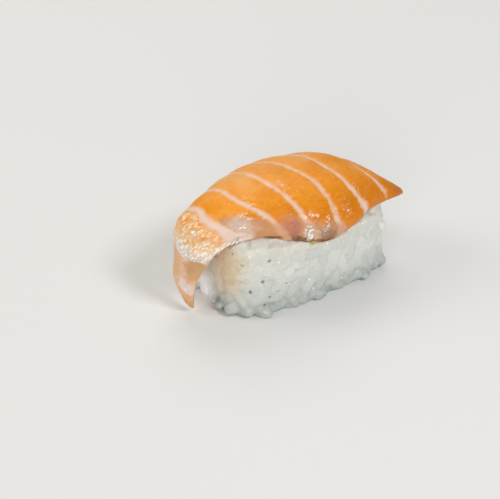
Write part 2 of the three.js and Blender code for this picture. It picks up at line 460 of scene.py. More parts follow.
@dataclass(frozen=True)
class RiceForm:
    """Smooth form of the pressed block, and where its grains lie."""

    slice_form: SliceForm = field(default_factory=SliceForm)
    # sides of the block, height of its crown, height at which it is widest, and how far its form runs
    # on below the table
    left: float = -23.0
    right: float = 23.0
    near: float = -14.1
    far: float = 14.5
    crown: float = 23.2
    belly: float = 9.7
    under: float = 8.0
    plan_power: float = 3.6
    side_power: float = 4.0
    grain_length: float = 6.0
    grain_width: float = 2.7
    grain_spread: float = 0.12
    grain_pitch: float = 4.5
    course_pitch: float = 3.1
    lowest_course: float = 1.2
    sink: float = 0.65
    jitter: float = 0.7
    lift: float = 0.36
    rise_allowed: float = 0.5
    # angle over which the face's directions are taken
    face_step: float = 1e-2
    seed: int = 23
    samples: int = 240
    # shares of a step at which even and odd courses start
    course_shifts: Span = (0.25, 0.75)
    # least width and least way from the middle, as shares, for which the offset is worked out
    narrowest: float = 1e-3
    middlemost: float = 1e-6
    # grains that stick out round the foot
    foot_pitch: float = 3.9
    foot_height: float = 1.3
    foot_sink: float = 0.4
    foot_half_length: float = 2.7
    foot_half_width: float = 1.6
    foot_swing: float = 1.5
    foot_tilt: float = 0.4
    foot_bury: float = 0.5
    # how far a grain at the foot strays inwards, sideways and upwards
    foot_strays: Triple = (0.9, 0.9, 0.7)
    foot_spreads: Span = (0.2, 0.25)
    foot_gaps: float = 0.12
    foot_seed: int = 37
    # loose grains at the two ends: places, and the middle and swing of their direction
    end_places: tuple[Triple, ...] = (
        (19.3, -11.3, 2.8), (19.9, -8.8, 5.2), (20.2, -10.9, 11.2), (20.6, -8.2, 13.6), (21.0, -5.0, 3.2),
        (21.0, -2.0, 9.0), (20.9, 3.0, 4.0), (21.0, 6.5, 11.0), (-20.9, 4.4, 4.6), (-21.0, 1.6, 2.6),
        (-21.0, -1.4, 1.7), (-20.9, 3.2, 7.9), (-21.2, 0.6, 5.6),
    )
    end_heading: Triple = (0.8, -0.3, 0.0)
    end_swing: Triple = (0.4, 0.6, 0.6)
    end_seed: int = 43

    def middle_and_reach(self) -> tuple[Array, Array]:
        """Works out where the block is.

        Returns:
            Its middle, and how far it reaches from there along x, y and up.
        """
        middle = np.array([(self.left + self.right) / 2, (self.near + self.far) / 2, self.belly])
        reach = np.array([(self.right - self.left) / 2, (self.far - self.near) / 2, self.crown - self.belly])
        return middle, reach

    def block(self, turn: Array, rise: Array) -> Array:
        """Points of the block's face.

        Args:
            turn: Angles round the block.
            rise: Angles from below the table up to the crown.

        Returns:
            The points, one row each.
        """
        cos = np.cos(turn)
        sin = np.sin(turn)
        plan = (np.abs(cos) ** self.plan_power + np.abs(sin) ** self.plan_power) ** (-1 / self.plan_power)
        inward = np.maximum(np.cos(rise), 0) ** (2 / self.side_power)
        upward = np.sign(rise) * np.abs(np.sin(rise)) ** (2 / self.side_power)
        middle, reach = self.middle_and_reach()
        x = middle[0] + reach[0] * plan * inward * cos
        y = middle[1] + reach[1] * plan * inward * sin
        height = np.where(upward > 0, reach[2], self.belly + self.under)
        z = np.minimum(self.belly + height * upward, self.slice_form.ceiling(x, y)[0])
        return np.stack([x, y, z], -1)

    def offset(self, points: Array) -> tuple[Array, Array]:
        """How points lie to the block's sides.

        Args:
            points: Points in mm, one row each.

        Returns:
            How far they lie outside the sides in mm, and the level directions out of them.
        """
        middle, reach = self.middle_and_reach()
        level = (points[:, :2] - middle[:2]) / reach[:2]
        height = points[:, 2] - self.belly
        rise = np.abs(height) / np.where(height > 0, reach[2], self.belly + self.under)
        widest = np.maximum(1 - np.minimum(rise, 1) ** self.side_power, self.narrowest)
        widest = widest ** (1 / self.side_power)
        plan = (np.abs(level) ** self.plan_power).sum(axis=1)
        plan = np.maximum(plan, self.middlemost) ** (1 / self.plan_power)
        slope = np.sign(level) * (np.abs(level) / plan[:, None]) ** (self.plan_power - 1) / reach[:2]
        steepness = np.linalg.norm(slope, axis=1)
        outward = np.column_stack([slope / steepness[:, None], np.zeros(len(points))])
        return (plan - widest) / steepness, outward

    def even_steps(self, parameters: Array, points: Array, pitch: float, shift: float) -> Array:
        """Values of a path's parameter at which the path has gone even steps.

        Args:
            parameters: Closely spaced values of the parameter.
            points: Points of the path at them.
            pitch: Length of one step in mm.
            shift: Share of a step before the first one.

        Returns:
            The values, in order.
        """
        lengths = np.concatenate([[0], np.cumsum(np.linalg.norm(np.diff(points, axis=0), axis=1))])
        count = int(math.floor(lengths[-1] / pitch + 0.5))
        return np.interp(lengths[-1] * (np.arange(count) + shift) / count, lengths, parameters)

    def grain(self, turn: float, rise: float, stray: Stray, sink: float) -> Grain:
        """One grain lying on the block's face in a random direction.

        Args:
            turn: Angle round the block.
            rise: Angle up to the crown.
            stray: Random numbers.
            sink: How deep its middle lies in mm.

        Returns:
            The grain.
        """
        step = self.face_step
        around = self.block(np.array([turn + step, turn - step, turn, turn, turn]),
                            np.array([rise, rise, rise + step, rise - step, rise]))
        round_ = Vector(around[0] - around[1]).normalized()
        up = Vector(around[2] - around[3]).normalized()
        out = round_.cross(up).normalized()
        heading = math.pi * stray.share()
        lift = self.lift * stray.either()
        flat = (round_ * math.cos(heading) + up * math.sin(heading)) * math.cos(lift)
        axis = (flat + out * math.sin(lift)).normalized()
        centre = Vector(around[4]) - out * sink
        centre += round_ * (self.jitter * stray.either())
        centre += up * (self.jitter * stray.either())
        half_length = self.grain_length / 2 * stray.around(1, self.grain_spread)
        half_width = self.grain_width / 2 * stray.around(1, self.grain_spread)
        half_height = math.hypot(half_length * axis.z, half_width * math.hypot(axis.x, axis.y))
        ceiling = float(self.slice_form.ceiling(np.array([centre.x]), np.array([centre.y]))[0][0])
        centre.z = min(centre.z, ceiling + self.rise_allowed - half_height)
        return Grain(centre, axis, half_length, half_width, math.pi * stray.either())

    def course_grains(self, pitch: float, course_pitch: float, sink: float, seed: int) -> list[Grain]:
        """Grains in even courses over all of the block's face that shows.

        Args:
            pitch: Distance between grains of a course in mm.
            course_pitch: Distance between courses in mm.
            sink: How deep the middles lie in mm.
            seed: Seed of their random numbers.

        Returns:
            The grains.
        """
        stray = Stray(seed)
        rises = np.linspace(self.rise_at(self.lowest_course), math.pi / 2, self.samples + 1)
        front = self.block(np.full_like(rises, -math.pi / 2), rises)
        turns = np.linspace(0, FULL_TURN, self.samples + 1)
        grains: list[Grain] = []
        for row, rise in enumerate(self.even_steps(rises, front, course_pitch, 0)):
            level = self.block(turns, np.full_like(turns, rise))
            for turn in self.even_steps(turns, level, pitch, self.course_shifts[row % 2]):
                place = self.block(np.array([turn]), np.array([rise]))
                ceiling, covered = self.slice_form.ceiling(place[:, 0], place[:, 1])
                grain = self.grain(turn, rise, stray, sink)
                if not (covered[0] and place[0, 2] > ceiling[0] - self.slice_form.hidden_margin):
                    grains.append(grain)
        return grains

    def rise_at(self, height: float) -> float:
        """Rise of the block's face at a height below its belly."""
        return -math.asin(((self.belly - height) / (self.belly + self.under)) ** (self.side_power / 2))

    def foot_grains(self) -> list[Grain]:
        """Lays the grains that stick out round the foot of the block with one end.

        Returns:
            The grains.
        """
        stray = Stray(self.foot_seed)
        rise = self.rise_at(self.foot_height)
        turns = np.linspace(0, FULL_TURN, self.samples + 1)
        level = self.block(turns, np.full_like(turns, rise))
        inward_stray, sideways_stray, upward_stray = self.foot_strays
        length_spread, width_spread = self.foot_spreads
        grains: list[Grain] = []
        for turn in self.even_steps(turns, level, self.foot_pitch, 0.5):
            place = self.block(np.array([turn]), np.array([rise]))
            outward = Vector(self.offset(place)[1][0])
            turned = Matrix.Rotation(stray.around(0, self.foot_swing), 3, "Z") @ outward
            axis = (turned + Vector((0, 0, stray.around(0, self.foot_tilt)))).normalized()
            centre = Vector(place[0]) - outward * stray.around(self.foot_sink, inward_stray)
            centre += Vector((-outward.y, outward.x, 0.0)) * stray.around(0, sideways_stray)
            centre.z = stray.around(self.foot_height, upward_stray)
            half_length = self.foot_half_length * stray.around(1, length_spread)
            half_width = self.foot_half_width * stray.around(1, width_spread)
            # a grain that points outwards lies deeper in the block
            centre -= outward * (self.foot_bury * (half_length - half_width) * abs(axis.dot(outward)))
            grain = Grain(centre, axis, half_length, half_width, math.pi * stray.either())
            if stray.share() > self.foot_gaps:
                grains.append(grain)
        return grains

    def end_grains(self) -> list[Grain]:
        """Lays the loose grains that stand out at the two ends of the block.

        Returns:
            The grains.
        """
        stray = Stray(self.end_seed)
        grains: list[Grain] = []
        for place in self.end_places:
            heading = (math.copysign(self.end_heading[0], place[0]), *self.end_heading[1:])
            axis = Vector([stray.around(*pair) for pair in zip(heading, self.end_swing)])
            grains.append(Grain(Vector(place), axis.normalized(), self.foot_half_length,
                                self.foot_half_width, math.pi * stray.either()))
        return grains


# ---------------------------------------------------------------- finishes

# sockets of a colour Mix node, which share their names
SHARE, UNDER, OVER, MIXED = 0, 6, 7, 2
# settings of a Map Range node that turn noise into about -1 to 1
EVENED = {"From Min": 0.25, "From Max": 0.75, "To Min": -1.0, "To Max": 1.0}


@dataclass(frozen=True)
class Layer:
    """A colour laid over those below it where a mark of the piece is strong.

    The mark counts from start and is full at full; waver is the share by which a fine pattern changes
    it, so that the colour's edge isn't ruled, and cover is how much the colour hides at most.
    """

    mark: str
    tint: str
    start: float = 0.0
    full: float = 1.0
    waver: float = 0.0
    cover: float = 1.0


def bare_material(name: str) -> bpy.types.Material:
    """Makes a material with an empty node tree.

    Args:
        name: Name of the material.

    Returns:
        The material.
    """
    made = bpy.data.materials.new(name)
    made.use_nodes = True
    made.node_tree.nodes.clear()
    return made


def lay(tree: bpy.types.NodeTree, colour: bpy.types.NodeSocket, layers: Iterable[Layer],
        pattern: bpy.types.NodeSocket) -> bpy.types.NodeSocket:
    """Lays layers of colour over what is there.

    Args:
        tree: The material's node tree.
        colour: Colour so far.
        layers: The layers, the lowest first.
        pattern: Fine pattern, about -1 to 1, that frays the layers' edges.

    Returns:
        The new colour.
    """
    for layer in layers:
        mark = add_node(tree, "Attribute", {"attribute_name": layer.mark}).outputs["Fac"]
        waver = add_node(tree, "Math", {"operation": "MULTIPLY", 1: layer.waver}, {0: pattern})
        shifted = add_node(tree, "Math", {"operation": "MULTIPLY_ADD"},
                           {0: mark, 1: waver.outputs[0], 2: mark})
        share = add_node(tree, "MapRange",
                         {"interpolation_type": "SMOOTHSTEP", "From Min": layer.start,
                          "From Max": layer.full, "To Max": layer.cover}, {"Value": shifted.outputs[0]})
        mixed = add_node(tree, "Mix", {"data_type": "RGBA", OVER: linear(layer.tint)},
                         {UNDER: colour, SHARE: share.outputs["Result"]})
        colour = mixed.outputs[MIXED]
    return colour


@dataclass(frozen=True)
class RawSalmon:
    """Raw farmed salmon, cut with a long knife: wet orange flesh, lines of pale fat, brownish skin side.

    The eye gets a soft glow from light that scatters inside, fine fibres that the knife has left, and
    a thin film of moisture that glints where the slice is creased. Some of the glints, a sheen on the
    fold and along the top side, and shade in the hollow, along the near edge and at the pointed end
    are painted into the colour.
    """

    flesh: str = "#f49e28"
    flesh_mottled: str = "#e98f08"
    layers: tuple[Layer, ...] = (
        # darker orange: knife fibres, and painted shade on the low side of the upper face and at the pointed
        # end
        Layer("deep", "#d87c00"),
        # pale tint: painted sheen over the fold and along the top side, with random pale blotches of the
        # flesh
        Layer("peach", "#efca96"),
        Layer("tail", "#dfb088", 0.1, 0.9, 0.25),
        # darker yellow-brown: painted shade in the hollow under the fold of the hanging end
        Layer("tan", "#cfa67a", 0.1, 0.9, 0.2),
        Layer("band", "#d0976a", 0.15, 0.85, 0.4),
        Layer("milky", "#dcbfab", 0.0, 1.0, 0.2),
        Layer("rosy", "#c47a68", 0.0, 1.0, 0.5, 0.9),
        Layer("grey", "#9c7862", 0.0, 1.0, 0.4),
        Layer("fat", "#eebd98", 0.0, 1.0, 0.25),
        Layer("fat_core", "#ecd2c2", 0.0, 1.0, 0.3),
        # the white fat patch on the hanging end, and painted highlight along the lip, the crest and the near
        # edge at the fold
        Layer("white", "#e4d7cf", 0.1, 0.9, 0.5, 0.85),
        # silvery skin side, partly painted glint of its wet film and of the lip
        Layer("silver", "#c9b2a5", 0.0, 1.0, 0.6, 0.8),
        Layer("brown", "#774825", 0.2, 0.8, 1.0, 0.9),
        # painted shade: a thin dark line along the near edge where the slice meets the rice, and darker at
        # the pointed end
        Layer("rim", "#a8642f", 0.2, 0.9, 0.5, 0.8),
        Layer("tip", "#cfa478", 0.1, 0.9, 0.3),
        # painted glints: small white specks where the wet film is creased, raised a little
        Layer("fleck", "#fffaf2", 0.1, 0.9, 0.3, 0.9),
    )
    dry_roughness: float = 0.42
    wet_roughness: float = 0.1
    mottle_mm: float = 5.0
    mottle_range: Span = (0.38, 0.66)
    mottle_cover: float = 0.8
    fibre_mm: float = 0.55
    fibre_length_mm: float = 4.5
    fibre_turn: float = 28.0
    fibre_share: float = 0.5
    grain_mm: float = 0.45
    relief_mm: float = 0.1
    scatter_mm: Triple = (1.5, 0.55, 0.22)

    def material(self) -> bpy.types.Material:
        """Builds the material.

        Returns:
            The material.
        """
        made = bare_material("raw_salmon")
        tree = made.node_tree
        place = add_node(tree, "TexCoord").outputs["Object"]
        # muscle a few mm wide shows a little deeper
        mottle = add_node(tree, "TexNoise", {"Scale": 1 / (self.mottle_mm * MM), "Detail": 2.0},
                          {"Vector": place})
        mottled = add_node(tree, "MapRange",
                           {"From Min": self.mottle_range[0], "From Max": self.mottle_range[1],
                            "To Max": self.mottle_cover}, {"Value": mottle.outputs["Fac"]})
        flesh = add_node(tree, "Mix",
                         {"data_type": "RGBA", UNDER: linear(self.flesh), OVER: linear(self.flesh_mottled)},
                         {SHARE: mottled.outputs["Result"]})
        # fine grain of the wet surface, which also frays the edge of each layer
        grain = add_node(tree, "TexNoise",
                         {"Scale": 1 / (self.grain_mm * MM), "Detail": 3.0, "Roughness": 0.6},
                         {"Vector": place})
        fray = add_node(tree, "MapRange", EVENED, {"Value": grain.outputs["Fac"]})
        colour = lay(tree, flesh.outputs[MIXED], self.layers, fray.outputs["Result"])
        # fibres run across the slice, as the knife leaves them
        along_it = 1 / (self.fibre_length_mm * MM)
        turned = add_node(tree, "Mapping",
                          {"vector_type": "POINT", "Rotation": (0.0, 0.0, math.radians(self.fibre_turn)),
                           "Scale": (1 / (self.fibre_mm * MM), along_it, along_it)}, {"Vector": place})
        fibres = add_node(tree, "TexNoise", {"Scale": 1.0, "Detail": 2.0},
                          {"Vector": turned.outputs["Vector"]})
        height = add_node(tree, "Math", {"operation": "MULTIPLY_ADD", 1: self.fibre_share},
                          {0: fibres.outputs["Fac"], 2: grain.outputs["Fac"]})
        relief = add_node(tree, "Bump", {"Strength": 0.4, "Distance": self.relief_mm * MM},
                          {"Height": height.outputs[0]})
        wet = add_node(tree, "Attribute", {"attribute_name": "wet"}).outputs["Fac"]
        rough = add_node(tree, "MapRange",
                         {"To Min": self.dry_roughness, "To Max": self.wet_roughness}, {"Value": wet})
        film = {
            "IOR": 1.38,
            "Specular IOR Level": 0.25,
            "Subsurface Weight": 0.35,
            "Subsurface Radius": tuple(r * MM for r in self.scatter_mm),
            "Subsurface Scale": 1.0,
            "Coat Roughness": 0.06,
            "Coat IOR": 1.6,
        }
        shader = add_node(tree, "BsdfPrincipled", film,
                          {"Base Color": colour, "Roughness": rough.outputs["Result"], "Coat Weight": wet,
                           "Normal": relief.outputs["Normal"]})
        add_node(tree, "OutputMaterial", {}, {"Surface": shader.outputs["BSDF"]})
        return made


@dataclass(frozen=True)
class CookedRice:
    """Cooked short-grain rice, seasoned and pressed by hand: moist, white and slightly translucent.

    The eye gets soft grains with little shading between them, small gaps that look dark, and dots of
    light on the film of starch. The dark of the gaps, the dots of light, shade towards the foot, a warm
    reflection of the salmon and cool daylight on the left end are painted into the colour.
    """

    body: str = "#e4e4dd"
    glassy: str = "#cbd0ca"
    layers: tuple[Layer, ...] = (
        # painted shade, darker towards the foot
        Layer("low", "#abb3af", waver=0.1),
        # painted light: the left end lit bluish white
        Layer("cool", "#f4f8fc", waver=0.1),
        # painted reflection of the salmon's orange light on one corner and towards the top
        Layer("warm", "#e0c9a8", waver=0.1),
        # painted shade in the gaps between grains
        Layer("pit", "#6f7462", 0.1, 0.9, 0.2, 0.8),
        # painted glint: white dots on small raised beads
        Layer("bead", "#ffffff", 0.1, 0.9),
    )
    scatter_mm: Triple = (1.5, 1.35, 1.15)
    film_mm: float = 0.6
    film_range: Span = (0.36, 0.6)
    roughness: Span = (0.16, 0.5)
    relief_mm: float = 0.08

    def material(self) -> bpy.types.Material:
        """Builds the material.

        Returns:
            The material.
        """
        made = bare_material("cooked_rice")
        tree = made.node_tree
        place = add_node(tree, "TexCoord").outputs["Object"]
        # film of starch, uneven every half millimetre or so
        film = add_node(tree, "TexNoise",
                        {"Scale": 1 / (self.film_mm * MM), "Detail": 3.0, "Roughness": 0.5},
                        {"Vector": place})
        fray = add_node(tree, "MapRange", EVENED, {"Value": film.outputs["Fac"]})
        tone = add_node(tree, "Attribute", {"attribute_name": "tone"}).outputs["Fac"]
        body = add_node(tree, "Mix",
                        {"data_type": "RGBA", UNDER: linear(self.body), OVER: linear(self.glassy)},
                        {SHARE: tone})
        colour = lay(tree, body.outputs[MIXED], self.layers, fray.outputs["Result"])
        rough = add_node(tree, "MapRange",
                         {"From Min": self.film_range[0], "From Max": self.film_range[1],
                          "To Min": self.roughness[0], "To Max": self.roughness[1]},
                         {"Value": film.outputs["Fac"]})
        relief = add_node(tree, "Bump", {"Strength": 0.3, "Distance": self.relief_mm * MM},
                          {"Height": film.outputs["Fac"]})
        moist = {
            "IOR": 1.38,
            "Subsurface Weight": 0.6,
            "Subsurface Radius": tuple(r * MM for r in self.scatter_mm),
            "Subsurface Scale": 1.0,
        }
        shader = add_node(tree, "BsdfPrincipled", moist,
                          {"Base Color": colour, "Roughness": rough.outputs["Result"],
                           "Normal": relief.outputs["Normal"]})
        add_node(tree, "OutputMaterial", {}, {"Surface": shader.outputs["BSDF"]})
        return made


@dataclass(frozen=True)
class WasabiPaste:
    """Grated wasabi, smeared thin: moist and dull yellow-green, with crumbs a quarter mm wide."""

    green: str = "#a59a2c"
    light: str = "#cbbf62"
    crumb_mm: float = 0.25

    def material(self) -> bpy.types.Material:
        """Builds the material.

        Returns:
            The material.
        """
        made = bare_material("wasabi_paste")
        tree = made.node_tree
        place = add_node(tree, "TexCoord").outputs["Object"]
        crumbs = add_node(tree, "TexNoise", {"Scale": 1 / (self.crumb_mm * MM), "Detail": 2.0},
                          {"Vector": place})
        colour = add_node(tree, "Mix",
                          {"data_type": "RGBA", UNDER: linear(self.green), OVER: linear(self.light)},
                          {SHARE: crumbs.outputs["Fac"]}).outputs[MIXED]
        relief = add_node(tree, "Bump", {"Strength": 0.4, "Distance": self.crumb_mm * MM / 2},
                          {"Height": crumbs.outputs["Fac"]})
        shader = add_node(tree, "BsdfPrincipled", {"Roughness": 0.4, "IOR": 1.38},
                          {"Base Color": colour, "Normal": relief.outputs["Normal"]})
        add_node(tree, "OutputMaterial", {}, {"Surface": shader.outputs["BSDF"]})
        return made


@dataclass(frozen=True)
class PaleBoard:
    """Matt painted studio board, pale grey."""

    tint: str = "#e7e6e3"

    def material(self) -> bpy.types.Material:
        """Builds the material.

        Returns:
            The material.
        """
        made = bare_material("pale_board")
        shader = add_node(made.node_tree, "BsdfPrincipled",
                          {"Base Color": linear(self.tint), "Roughness": 0.7})
        add_node(made.node_tree, "OutputMaterial", {}, {"Surface": shader.outputs["BSDF"]})
        return made


# ---------------------------------------------------------------- sub-assemblies


@dataclass(frozen=True)
class FatLine:
    """One pale line of fat across the slice, with (sweep, share, width in mm) along it."""

    course: tuple[Triple, ...]
    strength: float = 1.0
    # sweeps that the line runs on to with a gentle slant, past its known ends
    reach: Span = (-0.1, 1.1)
    end_slants: Span = (-0.10, -0.12)
    table_size: int = 241
    smoothing: int = 15

    def curves(self) -> tuple[Array, Array, Array]:
        """Draws the line smoothly.

        Returns:
            Tables of its sweep, share and width.
        """
        known = np.array(self.course)
        before, after = (known[end] + np.array([1.0, slant, 0.0]) * (sweep - known[end, 0])
                         for end, slant, sweep in zip((0, -1), self.end_slants, self.reach))
        table = np.vstack([before, known, after])
        sweep = np.linspace(*self.reach, self.table_size)
        kernel = np.hanning(self.smoothing)
        kernel /= kernel.sum()
        pad = len(kernel) // 2
        rows = [np.interp(sweep, table[:, 0], table[:, column]) for column in (1, 2)]
        share, width = (np.convolve(np.pad(row, pad, mode="reflect", reflect_type="odd"), kernel, "valid")
                        for row in rows)
        return sweep, share, width


class Heading(Enum):
    """Directions that a pattern on the slice can be drawn out along."""

    FIBRES = (1.0, 0.13, 0.0)
    CREASES = (0.38, -0.5, 0.7)


@dataclass(frozen=True)
class Pattern:
    """Noise over the slice, its size and height in mm; the patterns of one name add up."""

    name: str
    size: float
    height: float
    seed: float
    octaves: int = 2
    times_longer: float = 1.0
    heading: Heading = Heading.CREASES

    def of(self, points: Array) -> Array:
        """Height of the pattern at points."""
        drawn = drawn_out(points, self.heading.value, self.times_longer)
        return self.height * noise_field(drawn, self.size, self.seed, self.octaves)


@dataclass(frozen=True)
class Fade:
    """Smooth step of a measure of the slice, 0 at its start and 1 where it is full."""

    name: str
    measure: str
    start: float
    full: float

    def of(self, measure: Array) -> Array:
        """The step's values for values of its measure."""
        return ease(measure, self.start, self.full)


@dataclass(frozen=True)
class Hump:
    """Smooth hump of a measure of the slice, 1 at its middle and 0 where it ends below and above."""

    name: str
    measure: str
    middle: float
    below: float
    above: float

    def of(self, measure: Array) -> Array:
        """The hump's values for values of its measure."""
        away = measure - self.middle
        return bump_curve(away / np.where(away > 0, self.above, self.below))


@dataclass
class SalmonSlice:
    """The slice of salmon, its relief and the marks that its material reads.

    Places on it are a share of its length, from the hanging tip to the pointed end, and a sweep, which
    runs over the upper face from 0 at the near edge to 1 at the far edge.
    """

    form: SliceForm = field(default_factory=SliceForm)
    finish: RawSalmon = field(default_factory=RawSalmon)
    rings: int = 410
    upper_facets: int = 168
    under_facets: int = 72
    crowding: float = 0.55
    # width of the seam under the slice that is joined, in mm
    seam: float = 1e-5
    length: float = 78.0
    # lines A to F, from the hanging end
    fat_lines: tuple[FatLine, ...] = (
        FatLine(((0.04, 0.362, 4.4), (0.14, 0.326, 3.6), (0.26, 0.320, 2.5), (0.36, 0.314, 2.2),
                 (0.48, 0.316, 1.9), (0.59, 0.324, 1.7), (0.67, 0.317, 1.5)), 1.0),
        FatLine(((0.02, 0.487, 3.0), (0.155, 0.462, 2.3), (0.225, 0.444, 1.7), (0.31, 0.427, 1.4),
                 (0.39, 0.412, 1.3), (0.49, 0.407, 1.3), (0.58, 0.406, 1.3), (0.685, 0.394, 1.2)), 0.9),
        FatLine(((0.06, 0.568, 2.6), (0.16, 0.556, 2.1), (0.235, 0.544, 1.6), (0.305, 0.539, 1.4),
                 (0.38, 0.532, 1.3), (0.455, 0.521, 1.3), (0.545, 0.514, 1.2), (0.63, 0.504, 1.1),
                 (0.77, 0.484, 0.9)), 0.9),
        FatLine(((0.065, 0.662, 2.1), (0.18, 0.643, 1.6), (0.25, 0.640, 1.3), (0.32, 0.642, 1.1),
                 (0.39, 0.642, 1.2), (0.455, 0.633, 1.3), (0.51, 0.621, 1.2), (0.595, 0.613, 1.1),
                 (0.66, 0.596, 1.0), (0.71, 0.576, 0.9)), 0.8),
        FatLine(((0.105, 0.771, 2.2), (0.24, 0.746, 1.7), (0.33, 0.732, 1.3), (0.41, 0.724, 1.2),
                 (0.48, 0.712, 1.25), (0.56, 0.708, 1.15), (0.64, 0.696, 1.0), (0.70, 0.681, 0.9)), 0.85),
        FatLine(((0.13, 0.884, 0.6), (0.205, 0.872, 1.7), (0.355, 0.856, 1.5), (0.46, 0.840, 1.25),
                 (0.62, 0.838, 1.1), (0.685, 0.824, 1.0)), 0.6),
    )
    line_fullness: float = 1.15
    # upper limit of the skin band, as (share, sweep)
    band_limit: tuple[Span, ...] = (
        (0.300, 0.05), (0.337, 0.345), (0.373, 0.280), (0.423, 0.235), (0.456, 0.190), (0.488, 0.205),
        (0.529, 0.215), (0.554, 0.215), (0.579, 0.200), (0.626, 0.17), (0.662, 0.15), (0.69, 0.05),
        (0.71, -0.05),
    )
    # lip where the slice folds down, as (sweep, share)
    lip: tuple[Span, ...] = (
        (0.0, 0.202), (0.085, 0.194), (0.194, 0.192), (0.332, 0.194), (0.46, 0.193), (0.57, 0.194),
        (0.67, 0.206), (0.765, 0.200), (1.0, 0.18),
    )
    # soft patches of each mark: (share, sweep) of the middle, reach along both, and how full it is
    patches: tuple[tuple[str, tuple[tuple[float, float, float, float, float], ...]], ...] = (
        ("milky", ((0.365, 0.15, 0.058, 0.26, 1.1), (0.345, 0.05, 0.05, 0.10, 1.0),
                   (0.648, 0.06, 0.022, 0.10, 0.8))),
        ("rosy", ((0.500, 0.14, 0.055, 0.18, 0.7), (0.514, 0.16, 0.020, 0.10, 0.35),
                  (0.655, 0.09, 0.020, 0.08, 0.5))),
        ("grey", ((0.605, 0.07, 0.065, 0.13, 0.9), (0.510, 0.06, 0.035, 0.09, 0.7))),
        # silvery skin with painted glints
        ("silver", ((0.550, 0.10, 0.032, 0.12, 1.0), (0.592, 0.13, 0.020, 0.05, 0.35),
                    (0.340, 0.04, 0.028, 0.07, 1.1), (0.368, 0.19, 0.022, 0.09, 0.6))),
        # painted shade in the hollow under the fold
        ("tan", ((0.150, 0.13, 0.052, 0.42, 1.8),)),
        ("white", ((0.080, 0.27, 0.038, 0.70, 1.1),)),
        # painted glints
        ("fleck", ((0.395, 0.28, 0.035, 0.08, 0.65), (0.428, 0.39, 0.012, 0.10, 0.5),
                   (0.566, 0.24, 0.030, 0.06, 0.6), (0.610, 0.19, 0.045, 0.07, 0.7),
                   (0.690, 0.21, 0.030, 0.09, 0.6), (0.757, 0.29, 0.012, 0.07, 0.6),
                   (0.547, 0.43, 0.014, 0.08, 0.5), (0.550, 0.10, 0.032, 0.12, 1.2),
                   (0.592, 0.13, 0.025, 0.07, 0.8), (0.340, 0.04, 0.035, 0.07, 1.0),
                   (0.368, 0.19, 0.025, 0.09, 0.9), (0.073, 0.30, 0.022, 0.30, 0.8))),
        ("wet", ((0.395, 0.27, 0.04, 0.07, 0.9), (0.430, 0.36, 0.02, 0.14, 0.6),
                 (0.545, 0.42, 0.02, 0.10, 0.5), (0.580, 0.22, 0.05, 0.06, 0.5),
                 (0.630, 0.19, 0.04, 0.08, 0.8), (0.690, 0.22, 0.03, 0.10, 0.7),
                 (0.757, 0.29, 0.015, 0.09, 0.6), (0.345, 0.07, 0.05, 0.10, 1.0),
                 (0.560, 0.10, 0.055, 0.13, 1.0), (0.075, 0.10, 0.05, 0.30, 0.7))),
    )
    # brown line of skin left along the near edge: share, reach along the slice, width in mm
    brown_runs: tuple[Triple, ...] = (
        (0.448, 0.05, 1.5), (0.535, 0.05, 3.4), (0.60, 0.05, 1.6),
    )
    # share of such a run's width at which it is full
    brown_core: float = 0.3
    # sweep of the band's limit where there is no band, and share up to which fat shows at full in it
    no_band: float = -0.2
    milky_until: float = 0.39
    milk_hides: float = 0.8
    # how far from a side the relief is full, in mm
    side_run: Span = (0.0, 0.9)
    uneven_side: Span = (1.6, 0.2)
    patterns: tuple[Pattern, ...] = (
        Pattern("uneven", 1.2, 1.0, 53.0, 3),
        Pattern("patch_edge", 1.6, 0.22, 41.0, 3),
        Pattern("fat_edge", 2.4, 0.35, 83.0),
        Pattern("fat_edge", 0.9, 0.3, 87.0),
        Pattern("lip_edge", 2.2, 0.5, 29.0),
        Pattern("band_edge", 2.0, 0.8, 61.0, 3),
        Pattern("speckle", 0.42, 1.0, 97.0, 2, 3.4),
        Pattern("dots", 0.45, 1.0, 101.0),
        Pattern("dashes", 0.55, 1.0, 109.0, 2, 3.0, Heading.FIBRES),
        Pattern("blotches", 5.0, 1.0, 103.0),
        Pattern("flesh_ripple", 9.0, 0.25, 3.1),
        Pattern("flesh_ripple", 1.8, 0.05, 7.7),
        Pattern("band_ripple", 1.4, 0.14, 11.0),
        Pattern("band_ripple", 0.7, 0.05, 13.0),
        Pattern("wet_ripple", 1.0, 0.3, 17.0, 2, 2.6),
        Pattern("wet_ripple", 0.55, 0.16, 23.0, 2, 2.0),
        Pattern("side_ripple", 2.6, 0.25, 107.0),
    )
